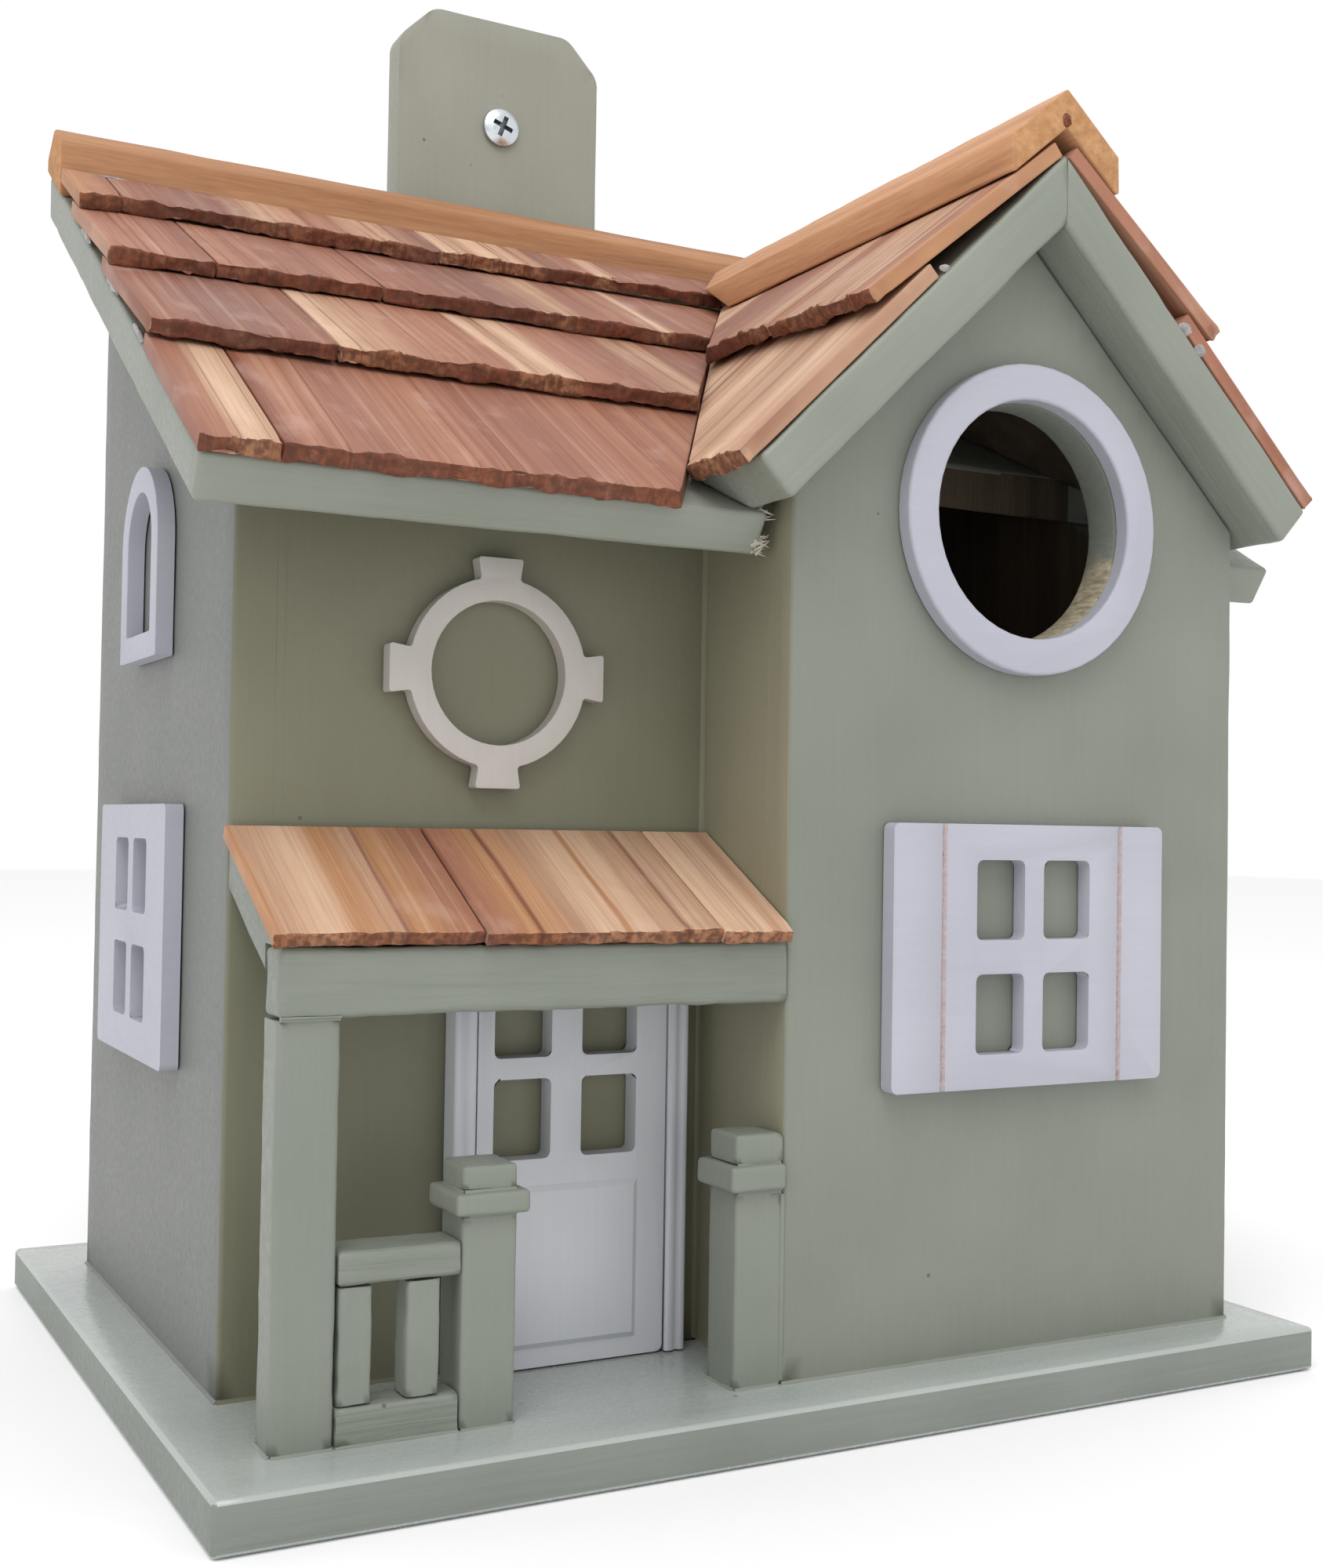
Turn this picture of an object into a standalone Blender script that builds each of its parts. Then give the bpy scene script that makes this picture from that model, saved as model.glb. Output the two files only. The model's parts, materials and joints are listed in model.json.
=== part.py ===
"""A painted cottage birdhouse: two-storey house on a base board, with a lean-to main roof,
a gabled wing that holds the entry hole, a porch, and a board that hangs it on a wall.

Metres, +Z up, front towards -Y. The origin is the centre of the base board's underside.
"""

import math

import bmesh
import bpy
from mathutils import Vector

MM = 0.001
GAP = 0.3 * MM

# Base and wall boards
BASE_WIDTH = 185 * MM
BASE_DEPTH = 146 * MM
BASE_THICK = 7 * MM
BOARD = 7 * MM
FOOT = BASE_THICK + GAP

# Plan of the walls
BODY_LEFT = -82.5 * MM
BODY_RIGHT = 83.5 * MM
BODY_FRONT = -36 * MM
BODY_REAR = 56.5 * MM
WING_LEFT = -5.5 * MM
WING_FRONT = -62 * MM
WING_CENTRE = (WING_LEFT + BODY_RIGHT) / 2

# Main roof: one slope that falls from the rear wall to the front eave
MAIN_PITCH = math.radians(31.6)
MAIN_ROOF_LEFT = -93.5 * MM
MAIN_ROOF_RIGHT = 95 * MM
EAVE_Y = -59.5 * MM
EAVE_Z = 136 * MM
NOTCH_LEFT = -8.3 * MM

# Wing roof: two boards that meet over the wing's centre line
WING_PITCH = math.radians(44)
WING_BOARD = 8 * MM
WING_RIDGE_Z = 195.7 * MM
WING_ROOF_FRONT = -70.5 * MM
WING_SLOPE_LEFT = 77.1 * MM
WING_SLOPE_RIGHT = 73.9 * MM
WING_WALL_TOP = 141.2 * MM

# Shingles and caps
SHINGLE = 2.5 * MM
LAPPED_LIFT = 3.5 * MM
MAIN_CAP_FRONT = 43.5 * MM
MAIN_CAP_SHOULDER = 209.4 * MM
MAIN_CAP_PEAK = (50.2 * MM, 213.8 * MM)
MAIN_CAP_REAR_EDGE = 2.6 * MM
WING_CAP_HALF = 10.7 * MM
WING_CAP_LIP = 0.6 * MM
WING_CAP_FOOT = 191.4 * MM
WING_CAP_SHOULDER = 197.3 * MM
WING_CAP_INNER = 200.1 * MM
WING_CAP_PEAK = 206.2 * MM
CAP_CLEARANCE = 7 * MM

# Entry, window and door trims
ENTRY_X = 38.2 * MM
ENTRY_Z = 138.8 * MM
ENTRY_RADIUS = 19.05 * MM
ENTRY_RING_RADIUS = 24.8 * MM
OCULUS_CENTRE = (-42.7 * MM, 111.7 * MM)
TRIM = 2.8 * MM
PANE_WIDTH = 9.4 * MM
DOOR_LEFT = -49.2 * MM
DOOR_RIGHT = -9.9 * MM
DOOR_TOP = 73.4 * MM
DOOR_CASING = 3.5 * MM
DOOR_FRAME_THICK = 4.2 * MM
DOOR_LEAF_THICK = 3.6 * MM

# Porch
PORCH_PITCH = math.radians(28)
PORCH_LEFT = -82.3 * MM
PORCH_RIGHT = WING_LEFT - GAP
PORCH_TOP = 89.2 * MM
PORCH_BOARD = 6.5 * MM
PORCH_SLOPE = 29.6 * MM
PORCH_POST_RIGHT = -73.7 * MM
POST_FRONT = -61.3 * MM
POST_BACK = -53.3 * MM
BEAM_THICK = 6.3 * MM
BEAM_BOTTOM = 63.3 * MM
BEAM_TOP = 72.5 * MM
PORCH_SHINGLE = 2 * MM
NEWEL_LEFT = -56.1 * MM
NEWEL_TOP = 35.6 * MM
COLLAR_OVERHANG = 1.4 * MM
RAIL_BOTTOM = 28 * MM
RAIL_TOP = 32.5 * MM
LOW_RAIL_TOP = 12.1 * MM
BALUSTER = 4.7 * MM

# Hanging board and clean-out cover
HANGER_LEFT = -26.3 * MM
HANGER_RIGHT = 18.1 * MM
HANGER_BOTTOM = 116 * MM
HANGER_TOP = 255.6 * MM
HANGER_THICK = 6 * MM
HANGER_CHAMFER = 7.2 * MM
HANGING_SCREW_Z = 233.5 * MM
SCREW_HEAD_RADIUS = 3.8 * MM
SCREW_HEAD_THICK = 1.8 * MM
SCREW_SHANK_RADIUS = 1.6 * MM
SCREW_TAPER = 1.5 * MM
RECESS_WIDTH = 0.8 * MM
RECESS_DEPTH = 0.6 * MM
RECESS_TURN = 20
COVER_THICK = 5 * MM
COVER_HALF = 32 * MM
COVER_BOTTOM = 22 * MM
COVER_TOP = 80 * MM
COVER_SCREW_X = 27 * MM
COVER_SCREW_Z = 27 * MM
COVER_SLOT_HALF = 2.3 * MM
CLEANOUT_HALF = 22 * MM
CLEANOUT_BOTTOM = 33 * MM
CLEANOUT_TOP = 73 * MM

FRONT_FACING = (math.radians(90), 0, 0)
SIDE_FACING = (math.radians(90), 0, math.radians(90))


# Scene and materials

def clear_scene():
    for old in list(bpy.data.objects):
        bpy.data.objects.remove(old, do_unlink=True)


def new_collection(name):
    collection = bpy.data.collections.new(name)
    bpy.context.scene.collection.children.link(collection)
    return collection


def paint(name, colour, roughness, metallic=0.0):
    material = bpy.data.materials.new(name)
    material.use_nodes = True
    shader = material.node_tree.nodes["Principled BSDF"]
    shader.inputs["Base Color"].default_value = (*colour, 1)
    shader.inputs["Roughness"].default_value = roughness
    shader.inputs["Metallic"].default_value = metallic
    return material


clear_scene()
birdhouse = new_collection("birdhouse")
cutters = new_collection("cutters")

SAGE = paint("sage_paint", (0.26, 0.29, 0.23), 0.5)
WHITE = paint("white_paint", (0.58, 0.58, 0.62), 0.45)
CEDAR = paint("cedar", (0.42, 0.19, 0.11), 0.7)
CAP_WOOD = paint("cap_wood", (0.46, 0.24, 0.11), 0.65)
ZINC = paint("zinc", (0.62, 0.65, 0.66), 0.35, 1.0)


# Modelling helpers

def move_to(obj, collection):
    for owner in list(obj.users_collection):
        owner.objects.unlink(obj)
    collection.objects.link(obj)


def box(name, x, y, z, material):
    """A cuboid between pairs of x, y and z limits."""
    centre = [(low + high) / 2 for low, high in (x, y, z)]
    bpy.ops.mesh.primitive_cube_add(size=1, location=centre)
    obj = bpy.context.object
    obj.name = name
    obj.scale = (x[1] - x[0], y[1] - y[0], z[1] - z[0])
    bpy.ops.object.transform_apply(location=False, rotation=False, scale=True)
    obj.data.materials.append(material)
    move_to(obj, birdhouse)
    return obj


def arc(centre, radius, start, end, steps):
    """Points on a circle from one angle to another, in degrees."""
    angles = [math.radians(start + (end - start) * i / steps) for i in range(steps + 1)]
    return [(centre[0] + radius * math.cos(a), centre[1] + radius * math.sin(a)) for a in angles]


def circle(centre, radius, steps=48):
    return arc(centre, radius, 0, 360, steps)[:-1]


def rectangle(x, z):
    return [(x[0], z[0]), (x[1], z[0]), (x[1], z[1]), (x[0], z[1])]


def plate(name, outlines, thick, material, location, rotation):
    """A flat piece: a filled 2D outline, with any holes, extruded evenly to both sides."""
    curve = bpy.data.curves.new(name, "CURVE")
    curve.dimensions = "2D"
    curve.fill_mode = "BOTH"
    curve.extrude = thick / 2
    for outline in outlines:
        spline = curve.splines.new("POLY")
        spline.points.add(len(outline) - 1)
        for point, (a, b) in zip(spline.points, outline):
            point.co = (a, b, 0, 1)
        spline.use_cyclic_u = True
    drawing = bpy.data.objects.new(name + "_outline", curve)
    birdhouse.objects.link(drawing)
    drawing.location = location
    drawing.rotation_euler = rotation
    bpy.context.view_layer.update()
    evaluated = drawing.evaluated_get(bpy.context.evaluated_depsgraph_get())
    mesh = bpy.data.meshes.new_from_object(evaluated)
    weld(mesh)
    mesh.name = name
    mesh.materials.clear()
    mesh.materials.append(material)
    obj = bpy.data.objects.new(name, mesh)
    obj.matrix_world = drawing.matrix_world.copy()
    bpy.data.objects.remove(drawing, do_unlink=True)
    birdhouse.objects.link(obj)
    return obj


def weld(mesh):
    work = bmesh.new()
    work.from_mesh(mesh)
    bmesh.ops.remove_doubles(work, verts=work.verts, dist=1e-6)
    bmesh.ops.recalc_face_normals(work, faces=work.faces)
    work.to_mesh(mesh)
    work.free()


def front_plate(name, outlines, y, material):
    """A plate drawn in X and Z that faces front, between two y limits."""
    return plate(name, outlines, y[1] - y[0], material, (0, (y[0] + y[1]) / 2, 0), FRONT_FACING)


def side_plate(name, outlines, x, material):
    """A plate drawn in Y and Z that faces sideways, between two x limits."""
    return plate(name, outlines, x[1] - x[0], material, ((x[0] + x[1]) / 2, 0, 0), SIDE_FACING)


def as_cutter(obj):
    obj.hide_render = True
    obj.display_type = "WIRE"
    move_to(obj, cutters)
    return obj


def cut(obj, cutter):
    modifier = obj.modifiers.new("cut_" + cutter.name, "BOOLEAN")
    modifier.operation = "DIFFERENCE"
    modifier.object = cutter


def half_space(name, point, rotation, size=0.6):
    """A large cube whose top face passes through a point, as a cutter."""
    bpy.ops.mesh.primitive_cube_add(size=size)
    cube = bpy.context.object
    cube.name = name
    cube.rotation_euler = rotation
    bpy.context.view_layer.update()
    up = cube.matrix_world.to_3x3() @ Vector((0, 0, 1))
    cube.location = Vector(point) - up * size / 2
    return as_cutter(cube)


def screw(name, location, axis_rotation, shank_length):
    """A screw turned about its axis: a domed head over a straight shank, with a cross recess."""
    dome = [(0, SCREW_HEAD_THICK), (0.6 * SCREW_HEAD_RADIUS, 0.9 * SCREW_HEAD_THICK),
            (SCREW_HEAD_RADIUS, 0.35 * SCREW_HEAD_THICK), (SCREW_HEAD_RADIUS, 0)]
    shank = [(SCREW_SHANK_RADIUS, 0), (SCREW_SHANK_RADIUS, SCREW_TAPER - shank_length), (0, -shank_length)]
    profile = dome + shank
    mesh = bpy.data.meshes.new(name)
    edges = [(i, i + 1) for i in range(len(profile) - 1)]
    mesh.from_pydata([(r, 0, z) for r, z in profile], edges, [])
    mesh.materials.append(ZINC)
    obj = bpy.data.objects.new(name, mesh)
    obj.location = location
    obj.rotation_euler = axis_rotation
    birdhouse.objects.link(obj)
    turn = obj.modifiers.new("turn", "SCREW")
    turn.steps = 24
    turn.render_steps = 24
    turn.use_merge_vertices = True
    turn.merge_threshold = 0.00001
    bpy.context.view_layer.update()
    for quarter in (0, 90):
        bpy.ops.mesh.primitive_cube_add(size=1)
        slot = bpy.context.object
        slot.name = f"{name}_recess_{quarter}"
        slot.scale = (1.1 * SCREW_HEAD_RADIUS, RECESS_WIDTH, 2 * RECESS_DEPTH)
        bpy.ops.object.transform_apply(location=False, rotation=False, scale=True)
        slot.matrix_world = obj.matrix_world.copy()
        slot.location = obj.matrix_world @ Vector((0, 0, SCREW_HEAD_THICK))
        slot.rotation_euler.rotate_axis("Z", math.radians(quarter + RECESS_TURN))
        cut(obj, as_cutter(slot))
    return obj


def main_roof_point(along, lift):
    """Y and Z of a point that far up the main slope from its eave and that far above the board."""
    y = EAVE_Y + along * math.cos(MAIN_PITCH) - lift * math.sin(MAIN_PITCH)
    z = EAVE_Z + along * math.sin(MAIN_PITCH) + lift * math.cos(MAIN_PITCH)
    return y, z


def main_roof_top(y):
    """Height of the main roof board's top face."""
    return EAVE_Z + (y - EAVE_Y) * math.tan(MAIN_PITCH)


def wing_roof_point(down, lift, side):
    """X and Z of a point that far down a wing slope from the ridge, above its board."""
    x = down * math.cos(WING_PITCH) + lift * math.sin(WING_PITCH)
    z = WING_RIDGE_Z - down * math.sin(WING_PITCH) + lift * math.cos(WING_PITCH)
    return WING_CENTRE + side * x, z


# Base and walls

def build_base():
    half_width, half_depth = BASE_WIDTH / 2, BASE_DEPTH / 2
    base = box("base_board", (-half_width, half_width), (-half_depth, half_depth), (0, BASE_THICK), SAGE)
    rounding = base.modifiers.new("worn_edges", "BEVEL")
    rounding.width = 0.6 * MM
    rounding.segments = 2


def main_roof_underside(y):
    return main_roof_top(y) - BOARD / math.cos(MAIN_PITCH) - GAP


def build_side_walls():
    left = [(BODY_FRONT, FOOT), (BODY_REAR, FOOT),
            (BODY_REAR, main_roof_underside(BODY_REAR)), (BODY_FRONT, main_roof_underside(BODY_FRONT))]
    side_plate("left_wall", [left], (BODY_LEFT, BODY_LEFT + BOARD), SAGE)
    front = WING_FRONT + BOARD + GAP
    right = [(front, FOOT), (BODY_REAR, FOOT), (BODY_REAR, main_roof_underside(BODY_REAR)),
             (BODY_FRONT, main_roof_underside(BODY_FRONT)), (BODY_FRONT, WING_WALL_TOP),
             (front, WING_WALL_TOP)]
    side_plate("right_wall", [right], (BODY_RIGHT - BOARD, BODY_RIGHT), SAGE)
    inner = BODY_FRONT + BOARD
    wing = rectangle((front, inner), (FOOT, WING_WALL_TOP))
    side_plate("wing_left_wall", [wing], (WING_LEFT, WING_LEFT + BOARD), SAGE)


def build_front_and_rear_walls():
    x = (BODY_LEFT + BOARD + GAP, WING_LEFT - GAP)
    top = main_roof_underside(BODY_FRONT)
    box("main_front_wall", x, (BODY_FRONT, BODY_FRONT + BOARD), (FOOT, top), SAGE)
    x = (BODY_LEFT + BOARD + GAP, BODY_RIGHT - BOARD - GAP)
    opening = rectangle((-CLEANOUT_HALF, CLEANOUT_HALF), (CLEANOUT_BOTTOM, CLEANOUT_TOP))
    pilots = [circle((side * COVER_SCREW_X, COVER_SCREW_Z), SCREW_SHANK_RADIUS + GAP, 24) for side in (-1, 1)]
    outline = rectangle(x, (FOOT, main_roof_underside(BODY_REAR - BOARD)))
    front_plate("rear_wall", [outline, opening] + pilots, (BODY_REAR - BOARD, BODY_REAR), SAGE)


def build_wing_front():
    peak = WING_RIDGE_Z - (WING_BOARD + GAP) / math.cos(WING_PITCH)
    outline = [(WING_LEFT, FOOT), (BODY_RIGHT, FOOT), (BODY_RIGHT, WING_WALL_TOP),
               (WING_CENTRE, peak), (WING_LEFT, WING_WALL_TOP)]
    hole = circle((ENTRY_X, ENTRY_Z), ENTRY_RADIUS)
    front_plate("wing_front_wall", [outline, hole], (WING_FRONT, WING_FRONT + BOARD), SAGE)


# Roofs

def build_main_roof():
    eave_bottom = main_roof_point(0, -BOARD)
    rear_top = main_roof_top(BODY_REAR)
    rear_bottom = rear_top - BOARD / math.cos(MAIN_PITCH)
    outline = [eave_bottom, (BODY_REAR, rear_bottom), (BODY_REAR, rear_top), (EAVE_Y, EAVE_Z)]
    roof = side_plate("main_roof_board", [outline], (MAIN_ROOF_LEFT, MAIN_ROOF_RIGHT), SAGE)
    notch = box("wing_notch", (NOTCH_LEFT, BODY_RIGHT + GAP), (-0.08, BODY_FRONT + BOARD), (0.1, 0.2), SAGE)
    cut(roof, as_cutter(notch))


def build_wing_roof():
    below_main = half_space("below_main_roof", (0, EAVE_Y, EAVE_Z + GAP), (MAIN_PITCH, 0, 0))
    for name, side, length in (("wing_roof_board_left", -1, WING_SLOPE_LEFT),
                               ("wing_roof_board_right", 1, WING_SLOPE_RIGHT)):
        seam = WING_CENTRE + side * GAP / 2
        under_ridge = WING_RIDGE_Z - WING_BOARD / math.cos(WING_PITCH)
        outline = [(seam, WING_RIDGE_Z), (seam, under_ridge), wing_roof_point(length, -WING_BOARD, side),
                   wing_roof_point(length, 0, side)]
        board = front_plate(name, [outline], (WING_ROOF_FRONT, MAIN_CAP_FRONT), SAGE)
        cut(board, below_main)


def build_main_cap():
    rear_top = main_roof_top(BODY_REAR) + GAP
    outline = [(MAIN_CAP_FRONT, main_roof_top(MAIN_CAP_FRONT) + GAP), (BODY_REAR, rear_top),
               (BODY_REAR, rear_top + MAIN_CAP_REAR_EDGE), MAIN_CAP_PEAK, (MAIN_CAP_FRONT, MAIN_CAP_SHOULDER)]
    ends = (MAIN_ROOF_LEFT - 0.5 * MM, MAIN_ROOF_RIGHT + 0.5 * MM)
    side_plate("main_ridge_cap", [outline], ends, CAP_WOOD)


def build_wing_cap():
    half = WING_CAP_HALF
    lip = half - WING_CAP_LIP
    drawn = [(0, WING_CAP_PEAK), (-half, WING_CAP_SHOULDER), (-half, WING_CAP_FOOT), (-lip, WING_CAP_FOOT),
             (0, WING_CAP_INNER), (lip, WING_CAP_FOOT), (half, WING_CAP_FOOT), (half, WING_CAP_SHOULDER)]
    outline = [(WING_CENTRE + x, z) for x, z in drawn]
    cap = front_plate("wing_ridge_cap", [outline], (WING_ROOF_FRONT, MAIN_CAP_FRONT - GAP), CAP_WOOD)
    y, z = main_roof_point(0, CAP_CLEARANCE)
    cut(cap, half_space("below_wing_cap", (0, y, z), (MAIN_PITCH, 0, 0)))


# Shingles

def valley_cutter(name, side, keep):
    """Everything on one side of the upright plane through a valley, as a cutter."""
    run = math.tan(MAIN_PITCH) / math.tan(WING_PITCH)
    top_y = EAVE_Y + (WING_RIDGE_Z - EAVE_Z) / math.tan(MAIN_PITCH)
    along = Vector((-side * run, 1, 0)).normalized()
    towards_wing = Vector((-side * along.y, side * along.x, 0))
    removed = towards_wing if keep == "main" else -towards_wing
    heading = math.atan2(removed.y, removed.x)
    point = Vector((WING_CENTRE, top_y, WING_RIDGE_Z)) - removed * GAP / 2
    return half_space(name, point, (0, math.radians(-90), heading))


def main_shingle(name, x, butt, top, lifts, valley):
    """A shingle on the main slope: x limits, its butt at each side, its top, and its lift at both."""
    low, high = lifts
    middle = (butt[0] + butt[1]) / 2
    tilt = math.atan2(low - high, top - middle)
    outline = [(x[0], butt[0] - middle), (x[1], butt[1] - middle), (x[1], top - middle), (x[0], top - middle)]
    y, z = main_roof_point(middle, low)
    pitch = MAIN_PITCH - tilt
    centre = (0, y - math.sin(pitch) * SHINGLE / 2, z + math.cos(pitch) * SHINGLE / 2)
    shingle = plate(name, [outline], SHINGLE, CEDAR, centre, (pitch, 0, 0))
    cut(shingle, valley)
    return shingle


def build_main_shingles():
    left_valley = valley_cutter("left_valley_main", -1, "main")
    right_valley = valley_cutter("right_valley_main", 1, "main")
    left, right = MAIN_ROOF_LEFT - 0.5 * MM, MAIN_ROOF_RIGHT - 0.5 * MM
    reach = WING_CENTRE - GAP / 2
    courses = {
        "course_4": {"joints": [-83.3], "butts": [-1.0, -1.2, -3.3], "top": 38.5, "lifts": (0.3, 0.3)},
        "course_3": {"joints": [-66.8], "butts": [35.9, 34.4, 34.9], "top": 76, "lifts": (3.45, 0.3)},
        "course_2": {"joints": [-77.5, -48.9], "butts": [69.3, 70.0, 71.6, 72.6], "top": 108,
                     "lifts": (3.5, 0.3)},
        "course_1": {"joints": [-86.8, -28.4], "butts": [100.6, 103.4, 103.8, 106.6], "top": 121.5,
                     "lifts": (3.5, 2.4)},
    }
    behind_cap = as_cutter(box("behind_main_cap", (-0.2, 0.2), (MAIN_CAP_FRONT - GAP, 0.2), (0.1, 0.3), SAGE))
    for course, plan in courses.items():
        edges = [left] + [joint * MM for joint in plan["joints"]] + [reach]
        butts = [butt * MM for butt in plan["butts"]]
        top = plan["top"] * MM
        lifts = [lift * MM for lift in plan["lifts"]]
        laid = []
        for number in range(len(edges) - 1):
            limits = (edges[number] + (GAP if number else 0), edges[number + 1])
            name = f"main_{course}_shingle_{number + 1}"
            laid.append(main_shingle(name, limits, butts[number:number + 2], top, lifts, left_valley))
        if course != "course_4":
            limits = (WING_CENTRE + GAP / 2, right)
            name = f"main_{course}_shingle_right"
            laid.append(main_shingle(name, limits, (butts[-1], butts[-1]), top, lifts, right_valley))
        if course == "course_1":
            for shingle in laid:
                cut(shingle, behind_cap)


def wing_shingle(name, side, y, butts, top, lifts, valley):
    """A shingle on a wing slope: y limits, its butt at each, its top, and its lift at both."""
    low, high = lifts
    middle = (butts[0] + butts[1]) / 2
    tilt = math.atan2(low - high, middle - top)
    outline = [(0, y[0]), (0, y[1]), (side * (butts[1] - top), y[1]), (side * (butts[0] - top), y[0])]
    x, z = wing_roof_point(top, high, side)
    pitch = WING_PITCH - tilt
    centre = (x + side * math.sin(pitch) * SHINGLE / 2, 0, z + math.cos(pitch) * SHINGLE / 2)
    shingle = plate(name, [outline], SHINGLE, CEDAR, centre, (0, side * pitch, 0))
    cut(shingle, valley)
    return shingle


def build_wing_shingles():
    rear = MAIN_CAP_FRONT - GAP
    front = WING_ROOF_FRONT + GAP
    upper_lifts = (4 * MM, 0.3 * MM)
    lower_lifts = (0.3 * MM, 0.3 * MM)
    left_valley = valley_cutter("left_valley_wing", -1, "wing")
    right_valley = valley_cutter("right_valley_wing", 1, "wing")
    upper_joint = -35 * MM
    lower_joint = -48 * MM
    near_ridge = 0.6 * MM
    under_upper = 33.5 * MM
    pieces = (
        ("wing_left_upper_shingle_1", -1, (front, upper_joint), (45.9, 41.2), near_ridge, upper_lifts),
        ("wing_left_upper_shingle_2", -1, (upper_joint + GAP, rear), (40.8, 36), near_ridge, upper_lifts),
        ("wing_left_lower_shingle_1", -1, (front, lower_joint), (79.3, 79), under_upper, lower_lifts),
        ("wing_left_lower_shingle_2", -1, (lower_joint + GAP, rear), (79, 79), under_upper, lower_lifts),
        ("wing_right_upper_shingle", 1, (front, rear), (40.3, 40.3), near_ridge, upper_lifts),
        ("wing_right_lower_shingle", 1, (front, rear), (73.5, 73.5), under_upper, lower_lifts),
    )
    for name, side, y, butts, top, lifts in pieces:
        valley = left_valley if side < 0 else right_valley
        wing_shingle(name, side, y, [butt * MM for butt in butts], top, lifts, valley)


# Trims

def build_entry_ring():
    outer = circle((ENTRY_X, ENTRY_Z), ENTRY_RING_RADIUS)
    hole = circle((ENTRY_X, ENTRY_Z), ENTRY_RADIUS)
    front_plate("entry_ring", [outer, hole], (WING_FRONT - GAP - TRIM, WING_FRONT - GAP), WHITE)


def keyed_ring(centre, radius, key_radius, neck, head):
    """A circle with a dovetail key at each quarter."""
    half_neck = math.asin(neck / 2 / radius)
    root = radius * math.cos(half_neck)
    key = ((root, -neck / 2), (key_radius, -head / 2), (key_radius, head / 2), (root, neck / 2))
    spread = math.degrees(half_neck)
    points = []
    for quarter in (0, 90, 180, 270):
        turn = math.radians(quarter)
        for out, across in key:
            points.append((centre[0] + out * math.cos(turn) - across * math.sin(turn),
                           centre[1] + out * math.sin(turn) + across * math.cos(turn)))
        points += arc(centre, radius, quarter + spread, quarter + 90 - spread, 10)[1:-1]
    return points


def build_oculus():
    outer = keyed_ring(OCULUS_CENTRE, 14.4 * MM, 17.4 * MM, 6.3 * MM, 7.4 * MM)
    inner = circle(OCULUS_CENTRE, 10.9 * MM)
    front_plate("oculus_trim", [outer, inner], (BODY_FRONT - GAP - TRIM, BODY_FRONT - GAP), WHITE)


def panes(columns, rows):
    return [rectangle((x, x + PANE_WIDTH), row) for x in columns for row in rows]


def build_windows():
    face = WING_FRONT - GAP
    rows = ((54.3 * MM, 66.8 * MM), (72.1 * MM, 84.6 * MM))
    outline = rectangle((11.4 * MM, 65.2 * MM), (49 * MM, 90.2 * MM))
    front_plate("wing_window", [outline] + panes((27.2 * MM, 40.4 * MM), rows), (face - TRIM, face), WHITE)

    face = BODY_LEFT - GAP
    rows = ((56.6 * MM, 68.6 * MM), (73.8 * MM, 85.8 * MM))
    outline = rectangle((-11.2 * MM, 35.8 * MM), (50.5 * MM, 91.3 * MM))
    side_plate("left_window", [outline] + panes((1.1 * MM, 14.1 * MM), rows), (face - TRIM, face), WHITE)

    middle, half, rim = 11.3 * MM, 12.8 * MM, 4.2 * MM
    sill, spring = 114.8 * MM, 133.7 * MM
    outer = [(middle - half, sill), (middle + half, sill)] + arc((middle, spring), half, 0, 180, 24)
    inner_sill = sill + rim
    inner_half = half - rim
    inner = [(middle - inner_half, inner_sill), (middle + inner_half, inner_sill)]
    inner += arc((middle, spring), inner_half, 0, 180, 24)
    side_plate("arched_window", [outer, inner], (face - TRIM, face), WHITE)


def build_door():
    face = BODY_FRONT - GAP
    head_bottom = DOOR_TOP - DOOR_CASING
    left, right = DOOR_LEFT + DOOR_CASING, DOOR_RIGHT - DOOR_CASING
    frame = [(DOOR_LEFT, FOOT), (left, FOOT), (left, head_bottom), (right, head_bottom),
             (right, FOOT), (DOOR_RIGHT, FOOT), (DOOR_RIGHT, DOOR_TOP), (DOOR_LEFT, DOOR_TOP)]
    front_plate("door_frame", [frame], (face - DOOR_FRAME_THICK, face), WHITE)
    leaf = rectangle((left + GAP, right - GAP), (FOOT, head_bottom - GAP))
    rows = ((38.6 * MM, 50.7 * MM), (53.9 * MM, 66 * MM))
    openings = panes((-42.8 * MM, -28.3 * MM), rows)
    front_plate("door_leaf", [leaf] + openings, (face - DOOR_LEAF_THICK, face), WHITE)


# Porch

def porch_top(y, lift):
    """Height of the porch slope, measured down from its shingles' top face."""
    return PORCH_TOP - (BODY_FRONT - y) * math.tan(PORCH_PITCH) - lift / math.cos(PORCH_PITCH)


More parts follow.
